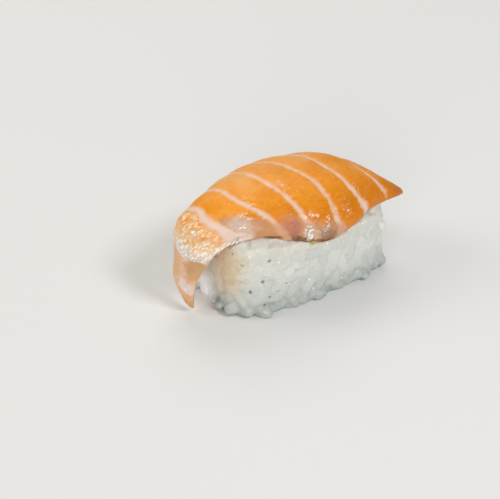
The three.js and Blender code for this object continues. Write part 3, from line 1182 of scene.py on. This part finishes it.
    # share and sweep are places, to_lip, to_edge, in_fat and in_band are mm, the rest are patterns
    fades: tuple[Fade, ...] = (
        Fade("tip", "share", 0.045, 0.02),
        Fade("crest_start", "share", 0.04, 0.08),
        Fade("past_tip", "share", 0.05, 0.09),
        Fade("crest_end", "share", 0.2, 0.16),
        Fade("past_fold", "share", 0.2, 0.22),
        Fade("before_line_a", "share", 0.345, 0.30),
        Fade("before_edge_of_a", "share", 0.345, 0.31),
        Fade("before_line_b", "share", 0.44, 0.34),
        Fade("over_rice", "share", 0.3, 0.36),
        Fade("past_line_a", "share", 0.3, 0.42),
        Fade("past_milk", "share", 0.36, 0.42),
        Fade("before_point", "share", 0.82, 0.7),
        Fade("towards_point", "share", 0.45, 0.85),
        Fade("at_point", "share", 0.85, 0.92),
        Fade("point", "share", 0.87, 0.95),
        Fade("lowest_side", "sweep", 0.35, 0.1),
        Fade("low_side", "sweep", 0.42, 0.22),
        Fade("top_side", "sweep", 0.42, 0.7),
        Fade("gutter_side", "sweep", 0.5, 0.36),
        Fade("specked_side", "sweep", 0.68, 0.54),
        Fade("ridge_side", "sweep", 0.72, 0.5),
        Fade("shown", "sweep", 0.85, 0.6),
        Fade("above_lip", "to_lip", 0.0, 1.5),
        Fade("at_lip", "to_lip", -0.5, 0.5),
        Fade("tail", "to_lip", 0.5, -0.5),
        Fade("near_lip", "to_lip", 6.0, 1.0),
        Fade("specked_bend", "to_lip", 8.5, 5.0),
        Fade("by_edge", "to_edge", 2.6, 0.8),
        Fade("at_edge", "to_edge", 0.5, 0.2),
        Fade("outside_fat", "in_fat", 0.3, -0.6),
        Fade("fat_line", "in_fat", -0.65, 0.55),
        Fade("fat_middle", "in_fat", 0.0, 1.1),
        Fade("groove", "in_fat", -0.6, 0.3),
        Fade("pillow", "in_fat", 0.0, -3.2),
        Fade("band", "in_band", -1.4, 1.3),
        Fade("outside_band", "in_band", 0.5, -0.5),
        Fade("speck", "speckle", 0.08, 0.3),
        Fade("dot", "dots", 0.56, 0.66),
        Fade("dash", "dashes", 0.12, 0.4),
        Fade("pale", "blotches", 0.0, 0.5),
    )
    humps: tuple[Hump, ...] = (
        Hump("lip_line", "to_lip", 0.0, 1.1, 3.6),
        Hump("ridge", "to_lip", 0.0, 1.1, 3.2),
        Hump("gutter", "to_lip", -2.0, 2.0, 2.0),
        Hump("crest_line", "sweep", 0.46, 0.2, 0.2),
    )
    # each mark is a sum of amounts, each times the marks, steps, humps and patterns that it names, and
    # those after it may name it
    recipes: tuple[tuple[str, tuple[tuple[float, str], ...]], ...] = (
        ("bend", ((1.0, "above_lip before_line_a outside_fat"),)),
        # band along the near edge at the fold, painted white and dotted with painted glints
        ("edge_run", ((1.0, "by_edge at_lip before_edge_of_a"),)),
        # raised crest down the hanging end, painted whiter as highlight
        ("crest", ((1.0, "crest_line past_tip tail"),)),
        # ridge of the fold, painted white and silvery as highlight
        ("lip", ((1.0, "lip_line"), (0.8, "lip_line uneven"))),
        ("fat", ((1.0, "strength fat_line unmilky"), (-0.5, "strength fat_line unmilky thinned"))),
        ("fat_core", ((1.0, "strength fat_middle"), (-0.8, "strength fat_middle thinned"))),
        # painted shade towards the pointed end and on the low side; the dashes are fibres
        ("deep", ((0.05, ""), (0.3, "towards_point"), (0.7, "at_point"), (0.22, "dash"),
                  (0.4, "low_side past_milk"))),
        # painted sheen on the fold and along the top side, plus random pale blotches
        ("peach", ((0.48, "bend"), (0.4, "bend lowest_side"), (0.45, "bend near_lip"),
                   (0.5, "bend uneven"), (0.3, "top_side past_line_a before_point"), (0.16, "pale"))),
        # painted shade along the near edge and at the pointed end
        ("rim", ((1.0, "at_edge past_fold before_line_b"), (0.6, "point"))),
        # white fat on the hanging end, and painted highlight on the lip, the crest and the near edge at the
        # fold
        ("white", ((1.0, "white"), (1.3, "lip shown"), (0.4, "crest"), (0.4, "crest uneven"),
                   (0.7, "edge_run"))),
        # painted glint on the skin side and the lip
        ("silver", ((1.0, "silver"), (0.4, "lip"))),
        ("wet", ((1.0, "wet"), (1.1, "bend shown"), (1.0, "lip"), (1.0, "edge_run"))),
        # where the painted glints go
        ("specked", ((1.0, "fleck"), (0.85, "bend specked_side specked_bend"),
                     (0.9, "bend specked_side specked_bend uneven"), (0.9, "lip"), (0.9, "edge_run"))),
        # painted glints: specks where they go, and dots over the flesh
        ("fleck", ((1.0, "speck specked"), (0.4, "dot over_rice outside_band"))),
    )
    # the height of the relief in mm is such a sum too
    relief: tuple[tuple[float, str], ...] = (
        (1.0, "flesh_ripple"), (-0.12, "groove"), (0.18, "pillow"), (1.0, "band band_ripple"),
        (-0.1, "band"), (1.0, "wetness wet_ripple"), (0.55, "ridge_side ridge"),
        (-0.35, "gutter gutter_side"), (0.25, "crest_line crest_start crest_end"), (0.1, "fleck"),
    )

    def patch_marks(self, share: Array, sweep: Array, fray: Array) -> dict[str, Array]:
        """Works out the marks that are made of patches.

        Args:
            share: Shares of the length.
            sweep: Sweeps over the upper face.
            fray: Noise for the patches' edges.

        Returns:
            One number per vertex under each name.
        """
        sums = {mark: np.zeros_like(share) for mark, _ in self.patches}
        for mark, rows in self.patches:
            for middle_share, middle_sweep, reach_share, reach_sweep, fullness in rows:
                away = np.hypot((share - middle_share) / reach_share, (sweep - middle_sweep) / reach_sweep)
                sums[mark] += fullness * bump_curve(np.minimum(away + fray, 1))
        return sums

    def fat_depths(self, share: Array, sweep: Array, spans: tuple[Array, Array]) -> tuple[Array, Array]:
        """Works out how the points lie to the lines of fat.

        Args:
            share: Shares of the length.
            sweep: Sweeps over the upper face.
            spans: Millimetres per share and per sweep.

        Returns:
            Depths inside the lines in mm, negative outside them, and strengths of the nearest line.
        """
        depth = np.full_like(share, -math.inf)
        strength = np.ones_like(share)
        for line in self.fat_lines:
            table, middle, width = line.curves()
            slope = np.interp(sweep, table, np.gradient(middle, table))
            away = np.abs(share - np.interp(sweep, table, middle)) * spans[0]
            slant = np.hypot(1, slope * spans[0] / spans[1])
            inside = self.line_fullness * np.interp(sweep, table, width) / 2 - away / slant
            strength = np.where(inside > depth, line.strength, strength)
            depth = np.maximum(inside, depth)
        return depth, strength

    def mixed(self, terms: Iterable[tuple[float, str]], marks: dict[str, Array]) -> Array:
        """Sum of amounts, each times the marks that it names."""
        return sum(amount * math.prod((marks[name] for name in names.split()), start=1.0)
                   for amount, names in terms)

    def marks(self, share: Array, sweep: Array, spans: tuple[Array, Array],
              points: Array) -> dict[str, Array]:
        """Works out the marks of the upper face and its relief.

        Args:
            share: Shares of the length.
            sweep: Sweeps over the upper face.
            spans: Millimetres per share and per sweep.
            points: Places in mm.

        Returns:
            One number per vertex under each name.
        """
        marks: dict[str, Array] = {"share": share, "sweep": sweep, "to_edge": sweep * spans[1]}
        for pattern in self.patterns:
            marks[pattern.name] = marks.get(pattern.name, 0) + pattern.of(points)
        marks |= self.patch_marks(share, sweep, marks["patch_edge"])
        marks["in_fat"], marks["strength"] = self.fat_depths(share, sweep, spans)
        marks["in_fat"] = marks["in_fat"] + marks["fat_edge"]
        lip, limit = np.array(self.lip), np.array(self.band_limit)
        lip_share = np.interp(sweep, lip[:, 0], lip[:, 1])
        marks["to_lip"] = (share - lip_share) * self.length + marks["lip_edge"]
        limit_sweep = np.interp(share, limit[:, 0], limit[:, 1], left=self.no_band, right=self.no_band)
        marks["in_band"] = (limit_sweep - sweep) * spans[1] + marks["band_edge"]
        for shape in (*self.fades, *self.humps):
            marks[shape.name] = shape.of(marks[shape.measure])
        marks["brown"] = sum(bump_curve((share - place) / reach)
                             * ease(marks["to_edge"], width, self.brown_core * width)
                             for place, reach, width in self.brown_runs)
        marks["thinned"] = np.where(share > self.milky_until, marks["band"], 0)
        marks["unmilky"] = 1 - self.milk_hides * np.clip(marks["milky"], 0, 1)
        for name, terms in self.recipes:
            marks[name] = self.mixed(terms, marks)
        marks["wetness"] = np.clip(marks["wet"], 0, 1)
        marks["relief"] = self.mixed(self.relief, marks)
        return marks

    def sheet(self) -> tuple[bpy.types.Mesh, Array, Array]:
        """Builds the slice's smooth skin.

        Returns:
            Its mesh in mm, and each vertex's share of the length and turn round the section.
        """
        facets = self.upper_facets + self.under_facets
        bm = bmesh.new()
        bmesh.ops.create_grid(bm, x_segments=facets, y_segments=self.rings, size=0.5)
        # places on the grid, 0 to 1 both ways
        flat = np.array([vert.co for vert in bm.verts]) + 0.5
        facet = np.rint(flat[:, 0] * facets)
        even = np.rint(flat[:, 1] * self.rings) / self.rings
        share = even - self.crowding * np.sin(FULL_TURN * even) / FULL_TURN
        above = facet / self.upper_facets
        below = 1 + (facet - self.upper_facets) / self.under_facets
        turn = math.pi * np.where(facet <= self.upper_facets, above, below)
        number = bm.verts.layers.int.new("number")
        for i, (vert, point) in enumerate(zip(bm.verts, self.form.skin(share, turn))):
            vert[number] = i
            vert.co = point
        rim = [v for v in bm.verts if v.is_boundary]
        bmesh.ops.remove_doubles(bm, verts=rim, dist=self.seam)
        bmesh.ops.recalc_face_normals(bm, faces=bm.faces)
        kept = [v[number] for v in bm.verts]
        bm.verts.layers.int.remove(number)
        return settled(bm, "salmon_slice"), share[kept], turn[kept]

    def mesh(self) -> bpy.types.Mesh:
        """Builds the slice's mesh in mm, with its relief and marks.

        Returns:
            The mesh.
        """
        mesh, share, turn = self.sheet()
        sweep = 1 - np.abs(turn / math.pi - 1)
        upper = turn <= math.pi
        points = coordinates(mesh)
        spans = self.form.spans(share, turn)
        marks = self.marks(share, sweep, spans, points)
        to_side = np.minimum(sweep, 1 - sweep) * spans[1]
        out = np.where(upper, marks["relief"] * ease(to_side, *self.side_run), 0.0)
        out += marks["side_ripple"] * ease(to_side, *self.uneven_side)
        set_coordinates(mesh, points + coordinates(mesh, of_normals=True) * out[:, None])
        names = {layer.mark for layer in self.finish.layers} | {"wet"}
        shown_below = {"tail", "tip", "deep"}
        set_marks(mesh, {name: np.clip(marks[name], 0, 1) * (upper | (name in shown_below))
                         for name in sorted(names)})
        return mesh

    def build(self) -> bpy.types.Object:
        """Builds and dresses the slice.

        Returns:
            The piece.
        """
        piece = finish_piece("salmon_slice", self.mesh(), self.finish.material())
        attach(piece, "root")
        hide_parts("salmon")
        return piece


@dataclass(frozen=True)
class Dots:
    """Round dots strewn over the heap: how many, at which rises and how wide in mm."""

    count: int
    rises: Span
    radii: Span
    seed: int
    near_face_too: bool


@dataclass
class RiceHeap:
    """The pressed heap of rice: grains stuck together over a core."""

    form: RiceForm = field(default_factory=RiceForm)
    finish: CookedRice = field(default_factory=CookedRice)
    # sides and bands of a grain in the heap, and of a loose one
    grain_facets: tuple[int, int] = (8, 6)
    loose_facets: tuple[int, int] = (5, 5)
    plumpness: float = 0.2
    voxel: float = 0.3
    core_facets: tuple[int, int] = (96, 64)
    core_sink: float = 0.3
    # how near the table a point counts as on it at the cut, how high the cut's rim is left alone, and
    # how far the points above it melt together
    cut_reach: float = 1e-4
    cut_rim: float = 1e-3
    melting: float = 0.5
    # second layer of grains, which fills the gaps between the outer ones
    inner_pitch: float = 3.6
    inner_course: float = 2.6
    inner_sink: float = 1.25
    inner_seed: int = 71
    # places along a grain at which the distance to it is taken, in half lengths
    grain_nodes: Triple = (-0.6, 0.0, 0.6)
    # how high a grain may stand out of the pressed sides, and how much of the grooves is left, on the
    # near face and elsewhere
    proud: Span = (0.05, 0.3)
    groove_left: Span = (0.12, 0.6)
    # level and tilt that each grain keeps on the near face
    facet_step: float = 0.13
    facet_tilt: float = 0.065
    facet_seed: int = 15
    # where the near face is, by its outward direction and along x, and where its facets end, by how
    # deep they lie and by height
    near_outward: Span = (-0.35, -0.8)
    near_run: Span = (21.0, 14.0)
    facet_depth: Span = (-0.9, -0.3)
    facet_top: Span = (17.5, 14.5)
    # the hand presses down to a depth, leaves the foot alone and is gentle with the right end
    pressed_depth: Span = (-1.5, -1.0)
    foot_top: Span = (6.0, 3.2)
    end_run: Span = (15.0, 21.0)
    end_looseness: float = 0.6
    # gaps between grains, dented and painted dark as shade
    pits: tuple[Triple, ...] = (
        (-21.0, -9.6, 14.5), (-14.9, -13.1, 15.1), (-11.0, -13.8, 13.8), (-19.3, -11.4, 7.0),
        (-16.6, -12.7, 9.5), (-10.3, -13.9, 7.6), (-12.8, -13.6, 6.0), (-16.1, -12.7, 2.7),
        (-14.9, -13.2, 4.9), (5.4, -14.0, 3.7), (-22.6, -5.5, 2.6),
    )
    stray_pits: Dots = Dots(14, (-0.6, 1.5), (0.42, 0.42), 9, False)
    pit_depth: float = 0.8
    pit_fray: float = 0.5
    pit_fray_mm: float = 0.7
    pit_fray_seed: float = 131.0
    # painted glints: raised beads of wet starch painted white, one of them beside each gap
    stray_beads: Dots = Dots(130, (-0.7, 1.7), (0.3, 0.25), 21, True)
    bead_height: float = 0.15
    beside_pit: Triple = (0.75, 0.0, -0.5)
    tones: Span = (0.15, 0.7)
    tone_seed: int = 5
    # painted warm reflection of the salmon on one corner, and painted cool daylight on the left end: middle
    # and reach in mm
    warm_spot: tuple[Triple, Triple] = ((-23.0, -6.5, 11.0), (8.0, 8.0, 11.0))
    cool_spot: tuple[Triple, Triple] = ((-23.0, 3.0, 3.0), (6.0, 7.0, 8.0))
    # strength of the painted warm reflection on its corner, the heights over which it grows towards the top,
    # and its strength there
    warm_share: float = 0.8
    warm_top: Span = (11.0, 16.0)
    warm_top_share: float = 0.25
    # painted shade towards the foot: heights at which it starts and is full, and how strong it is
    low_top: Span = (11.0, 0.0)
    low_share: float = 0.72

    def add_core(self, bm: bmesh.types.BMesh) -> None:
        """Adds the smooth core under the grains.

        Args:
            bm: Where it is added.
        """
        around, up = self.core_facets
        made = bmesh.ops.create_uvsphere(bm, u_segments=around, v_segments=up, radius=1.0)["verts"]
        ball = np.array([v.co for v in made])
        points = self.form.block(np.arctan2(ball[:, 1], ball[:, 0]), np.arcsin(np.clip(ball[:, 2], -1, 1)))
        middle, reach = self.form.middle_and_reach()
        points = middle + (points - middle) * (1 - self.core_sink / reach)
        for vert, point in zip(made, points):
            vert.co = point

    def unit_grain(self, facets: tuple[int, int]) -> bpy.types.Mesh:
        """Makes a grain 1 mm in half length and half width, along Z.

        Args:
            facets: How many sides and bands it has.

        Returns:
            Its mesh, of a few dozen faces.
        """
        bm = bmesh.new()
        bmesh.ops.create_uvsphere(bm, u_segments=facets[0], v_segments=facets[1], radius=1.0)
        for vert in bm.verts:
            latitude = math.asin(max(-1.0, min(1.0, vert.co.z)))
            fuller = 1 + self.plumpness * math.sin(2 * latitude) ** 2
            vert.co.x *= fuller
            vert.co.y *= fuller
        return settled(bm, "grain")

    def add_grains(self, bm: bmesh.types.BMesh, grains: Iterable[Grain], facets: tuple[int, int]) -> None:
        """Adds a copy of the unit grain for every grain.

        Args:
            bm: Where they are added.
            grains: The grains.
            facets: How many sides and bands each has.
        """
        unit_grain = self.unit_grain(facets)
        for grain in grains:
            turned = Vector((0, 0, 1)).rotation_difference(grain.axis) @ Quaternion((0, 0, 1), grain.roll)
            size = Vector((grain.half_width, grain.half_width, grain.half_length))
            copy = unit_grain.copy()
            copy.transform(Matrix.LocRotScale(grain.centre, turned, size))
            bm.from_mesh(copy)
            bpy.data.meshes.remove(copy)
        bpy.data.meshes.remove(unit_grain)

    def stuck(self, pressed: Iterable[Grain], loose_ends: Iterable[Grain]) -> bpy.types.Mesh:
        """Sticks grains and core together.

        Args:
            pressed: Grains of the heap.
            loose_ends: Grains that stick out of it.

        Returns:
            One closed skin over them all.
        """
        bm = bmesh.new()
        self.add_core(bm)
        self.add_grains(bm, pressed, self.grain_facets)
        self.add_grains(bm, loose_ends, self.loose_facets)
        loose = settled(bm, "rice_loose")
        carrier = bpy.data.objects.new("rice_loose", loose)
        bpy.context.scene.collection.objects.link(carrier)
        remesh = carrier.modifiers.new("stick", "REMESH")
        remesh.mode = "VOXEL"
        remesh.voxel_size = self.voxel
        view = bpy.context.evaluated_depsgraph_get()
        mesh = bpy.data.meshes.new_from_object(carrier.evaluated_get(view))
        bpy.data.objects.remove(carrier)
        bpy.data.meshes.remove(loose)
        mesh.name = "rice_heap"
        return mesh

    def pressed(self, points: Array, nearest: Array, centres: Array) -> Array:
        """Presses the grains flat, but for those at the foot and at the pointed end of the slice.

        Args:
            points: Points in mm, one row each.
            nearest: Number of the grain nearest to each point.
            centres: Middles of the grains.

        Returns:
            The points where they end up.
        """
        stray = Stray(self.facet_seed)
        # a level and a tilt along x, y and z for each grain
        facets = np.array([[stray.either() for _ in range(4)] for _ in centres])
        offset, outward = self.form.offset(points)
        near_face = ease(outward[:, 1], *self.near_outward) * ease(points[:, 0], *self.near_run)
        proud = self.proud[1] + (self.proud[0] - self.proud[1]) * near_face
        groove_left = self.groove_left[1] + (self.groove_left[0] - self.groove_left[1]) * near_face
        flattened = np.where(offset > 0, proud * np.tanh(offset / proud), groove_left * offset)
        tilt = (facets[nearest, 1:] * (points - centres[nearest])).sum(axis=1)
        facet = self.facet_step * facets[nearest, 0] + self.facet_tilt * tilt
        shown = ease(offset, *self.facet_depth) * ease(points[:, 2], *self.facet_top)
        flattened += facet * near_face * shown
        at_foot = ease(points[:, 2], *self.foot_top)
        at_end = self.end_looseness * ease(points[:, 0], *self.end_run)
        firmness = (1 - np.maximum(at_foot, at_end)) * ease(offset, *self.pressed_depth)
        return points + outward * ((flattened - offset) * firmness)[:, None]

    def strewn(self, dots: Dots, known: Iterable[Array], points: Array, fray: Array) -> Array:
        """Marks the points that lie in a dot.

        Args:
            dots: The dots strewn at random.
            known: Middles of others, which come first.
            points: Points in mm, one row each.
            fray: How many times farther each point counts as lying.

        Returns:
            How far inside a dot each point lies, 0 to 1.
        """
        stray = Stray(dots.seed)
        places = list(known)
        for _ in range(dots.count):
            turn = np.array([FULL_TURN * stray.share()])
            place = self.form.block(turn, np.array([stray.above(dots.rises)]))[0]
            if dots.near_face_too or place[1] >= self.form.near / 2:
                places.append(place)
        marks = np.zeros(len(points))
        for place in places:
            away = np.linalg.norm(points - place, axis=1) * fray
            marks = np.maximum(marks, bump_curve(np.minimum(away / stray.above(dots.radii), 1)))
        return marks

    def spot(self, place: tuple[Triple, Triple], points: Array) -> Array:
        """How near the middle of a large soft spot each point lies, 0 to 1."""
        middle, reach = place
        return bump_curve(np.minimum(np.linalg.norm((points - np.array(middle)) / reach, axis=1), 1))

    def cut_flat(self, mesh: bpy.types.Mesh) -> None:
        """Cuts the heap off flat by the table, closes the cut and melts the grains together a little.

        Args:
            mesh: The heap's mesh in mm.
        """
        bm = bmesh.new()
        bm.from_mesh(mesh)
        geometry = list(bm.verts) + list(bm.edges) + list(bm.faces)
        bmesh.ops.bisect_plane(bm, geom=geometry, dist=self.cut_reach, plane_co=(0, 0, 0),
                               plane_no=(0, 0, -1), clear_outer=True)
        rim = [e for e in bm.edges if e.is_boundary]
        bmesh.ops.holes_fill(bm, edges=rim, sides=0)
        above = [v for v in bm.verts if v.co.z > self.cut_rim]
        bmesh.ops.smooth_vert(bm, verts=above, factor=self.melting, use_axis_x=True, use_axis_y=True,
                              use_axis_z=True)
        bmesh.ops.recalc_face_normals(bm, faces=bm.faces)
        bm.to_mesh(mesh)
        bm.free()

    def nearest_grains(self, grains: list[Grain], points: Array) -> Array:
        """Finds the grain that each point belongs to.

        Args:
            grains: The grains.
            points: Points in mm, one row each.

        Returns:
            Number of the grain nearest to each point.
        """
        count = len(self.grain_nodes)
        tree = KDTree(count * len(grains))
        for i, grain in enumerate(grains):
            for k, node in enumerate(self.grain_nodes):
                tree.insert(grain.centre + grain.axis * (node * grain.half_length), count * i + k)
        tree.balance()
        return np.array([tree.find(p)[1] // count for p in points])

    def mesh(self) -> bpy.types.Mesh:
        """Builds the heap's mesh in mm, with its relief and marks.

        Returns:
            The mesh.
        """
        form = self.form
        pressed = form.course_grains(form.grain_pitch, form.course_pitch, form.sink, form.seed)
        pressed += form.course_grains(self.inner_pitch, self.inner_course, self.inner_sink, self.inner_seed)
        loose_ends = form.foot_grains() + form.end_grains()
        grains = pressed + loose_ends
        mesh = self.stuck(pressed, loose_ends)
        self.cut_flat(mesh)
        points = coordinates(mesh)
        nearest = self.nearest_grains(grains, points)
        stray = Stray(self.tone_seed)
        tone = np.array([stray.share() for _ in grains])[nearest]
        points = self.pressed(points, nearest, np.array([grain.centre for grain in grains]))
        pits = np.array(self.pits)
        fray = 1 + self.pit_fray * noise_field(points, self.pit_fray_mm, self.pit_fray_seed)
        # the gaps are dented and painted dark as shade; small raised beads beside them are painted white as
        # glints
        pit = self.strewn(self.stray_pits, pits, points, fray)
        bead = self.strewn(self.stray_beads, pits + self.beside_pit, points, np.ones(len(points)))
        points += form.offset(points)[1] * (self.bead_height * bead - self.pit_depth * pit)[:, None]
        ceiling, _ = form.slice_form.ceiling(points[:, 0], points[:, 1])
        points[:, 2] = np.clip(points[:, 2], 0, np.maximum(ceiling + form.rise_allowed, 0))
        set_coordinates(mesh, points)
        # painted warm reflection of the salmon
        warm = self.warm_share * self.spot(self.warm_spot, points)
        warm += self.warm_top_share * ease(points[:, 2], *self.warm_top)
        set_marks(mesh, {
            "tone": self.tones[0] + self.tones[1] * tone,
            "low": self.low_share * ease(points[:, 2], *self.low_top),
            "cool": self.spot(self.cool_spot, points),
            "warm": np.clip(warm, 0, 1),
            "pit": pit,
            "bead": bead,
        })
        LOG.info("rice: %d grains, %d vertices", len(grains), len(points))
        return mesh

    def build(self) -> bpy.types.Object:
        """Builds and dresses the heap.

        Returns:
            The piece.
        """
        piece = finish_piece("rice_heap", self.mesh(), self.finish.material())
        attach(piece, "root")
        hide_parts("rice")
        return piece


@dataclass
class WasabiTraces:
    """Specks of wasabi that show at the seam between rice and slice."""

    finish: WasabiPaste = field(default_factory=WasabiPaste)
    # middle of each speck, its half sizes along x, y and z
    specks: tuple[tuple[Triple, Triple], ...] = (
        ((-2.9, -14.35, 16.9), (0.75, 0.35, 0.45)),
        ((-21.6, -7.6, 17.0), (0.5, 0.45, 0.4)),
        ((-20.6, -10.2, 14.6), (0.45, 0.3, 0.2)),
    )
    unevenness: float = 0.25
    lumps: float = 2.0

    def build(self) -> bpy.types.Object:
        """Builds and dresses the specks.

        Returns:
            The piece.
        """
        bm = bmesh.new()
        for middle, half in self.specks:
            made = bmesh.ops.create_icosphere(bm, subdivisions=3, radius=1.0)["verts"]
            for vert in made:
                lump = 1 + self.unevenness * noise.noise(Vector(middle) + vert.co * self.lumps)
                vert.co = Vector(middle) + Matrix.Diagonal(half) @ vert.co * lump
        piece = finish_piece("wasabi_traces", settled(bm, "wasabi_traces"), self.finish.material())
        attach(piece, "root")
        return piece


@dataclass(frozen=True)
class SoftLight:
    """Square soft light: the direction to it, its distance and side in metres, watts and colour."""

    name: str
    towards: Triple
    away: float
    size: float
    power: float
    tint: str

    def build(self, target: Triple) -> None:
        """Builds the light.

        Args:
            target: The point that it shines at, in metres.
        """
        lamp = bpy.data.lights.new(self.name, "AREA")
        lamp.size = self.size
        lamp.energy = self.power
        lamp.color = linear(self.tint)[:3]
        light = bpy.data.objects.new(self.name, lamp)
        direction = Vector(self.towards).normalized()
        light.location = direction * self.away + Vector(target)
        light.rotation_euler = direction.to_track_quat("Z", "Y").to_euler()
        bpy.context.scene.collection.objects.link(light)


@dataclass
class Studio:
    """Pale floor, soft light and the camera."""

    floor_finish: PaleBoard = field(default_factory=PaleBoard)
    floor_half_mm: float = 3000.0
    camera_place: Triple = (-0.301374, -0.415509, 0.333262)
    camera_elevation: float = 32.5
    camera_turn: float = -34.9
    sensor: float = 36.0
    lens: float = 176.4
    lit_point: Triple = (0.0, 0.0, 0.015)
    lights: tuple[SoftLight, ...] = (
        SoftLight("window", (-0.66, 0.5, 0.54), 0.6, 0.3, 1.0, "#fffcf6"),
        SoftLight("back_light", (0.35, 0.6, 0.72), 0.7, 0.5, 1.7, "#fffdf9"),
        SoftLight("front_fill", (0.25, -0.6, 0.7), 0.7, 0.2, 1.95, "#f9fbff"),
        SoftLight("left_light", (-0.66, -0.68, 0.3), 0.7, 0.35, 1.6, "#fffaf4"),
    )
    room_tint: str = "#f1f3f5"
    room_strength: float = 0.3

    def build_floor(self) -> None:
        """Builds the floor."""
        bm = bmesh.new()
        bmesh.ops.create_grid(bm, x_segments=2, y_segments=2, size=self.floor_half_mm)
        floor = finish_piece("floor", settled(bm, "floor"), self.floor_finish.material())

    def build_lights(self) -> None:
        """Builds the soft lights and the even light of the room."""
        for light in self.lights:
            light.build(self.lit_point)
        world = bpy.data.worlds.new("room")
        world.use_nodes = True
        background = world.node_tree.nodes["Background"]
        background.inputs["Color"].default_value = linear(self.room_tint)
        background.inputs["Strength"].default_value = self.room_strength
        bpy.context.scene.world = world
        bpy.context.scene.view_settings.view_transform = "Standard"

    def build_camera(self) -> None:
        """Builds the camera."""
        lens = bpy.data.cameras.new("camera")
        lens.sensor_width = self.sensor
        lens.lens = self.lens
        lens.clip_start = 0.01
        lens.clip_end = 20.0
        camera = bpy.data.objects.new("camera", lens)
        camera.location = self.camera_place
        tilt = math.radians(90 - self.camera_elevation)
        camera.rotation_euler = Euler((tilt, 0.0, math.radians(self.camera_turn)))
        bpy.context.scene.collection.objects.link(camera)
        bpy.context.scene.camera = camera


def main() -> None:
    """Builds every piece in order."""
    logging.basicConfig(level=logging.INFO, format="%(name)s: %(message)s")
    studio = Studio()
    studio.build_camera()
    studio.build_floor()
    studio.build_lights()
    for sub_assembly in (RiceHeap(), SalmonSlice(), WasabiTraces()):
        piece = sub_assembly.build()
        LOG.info("%s: %d faces", piece.name, len(piece.data.polygons))


if __name__ == "__main__":
    main()
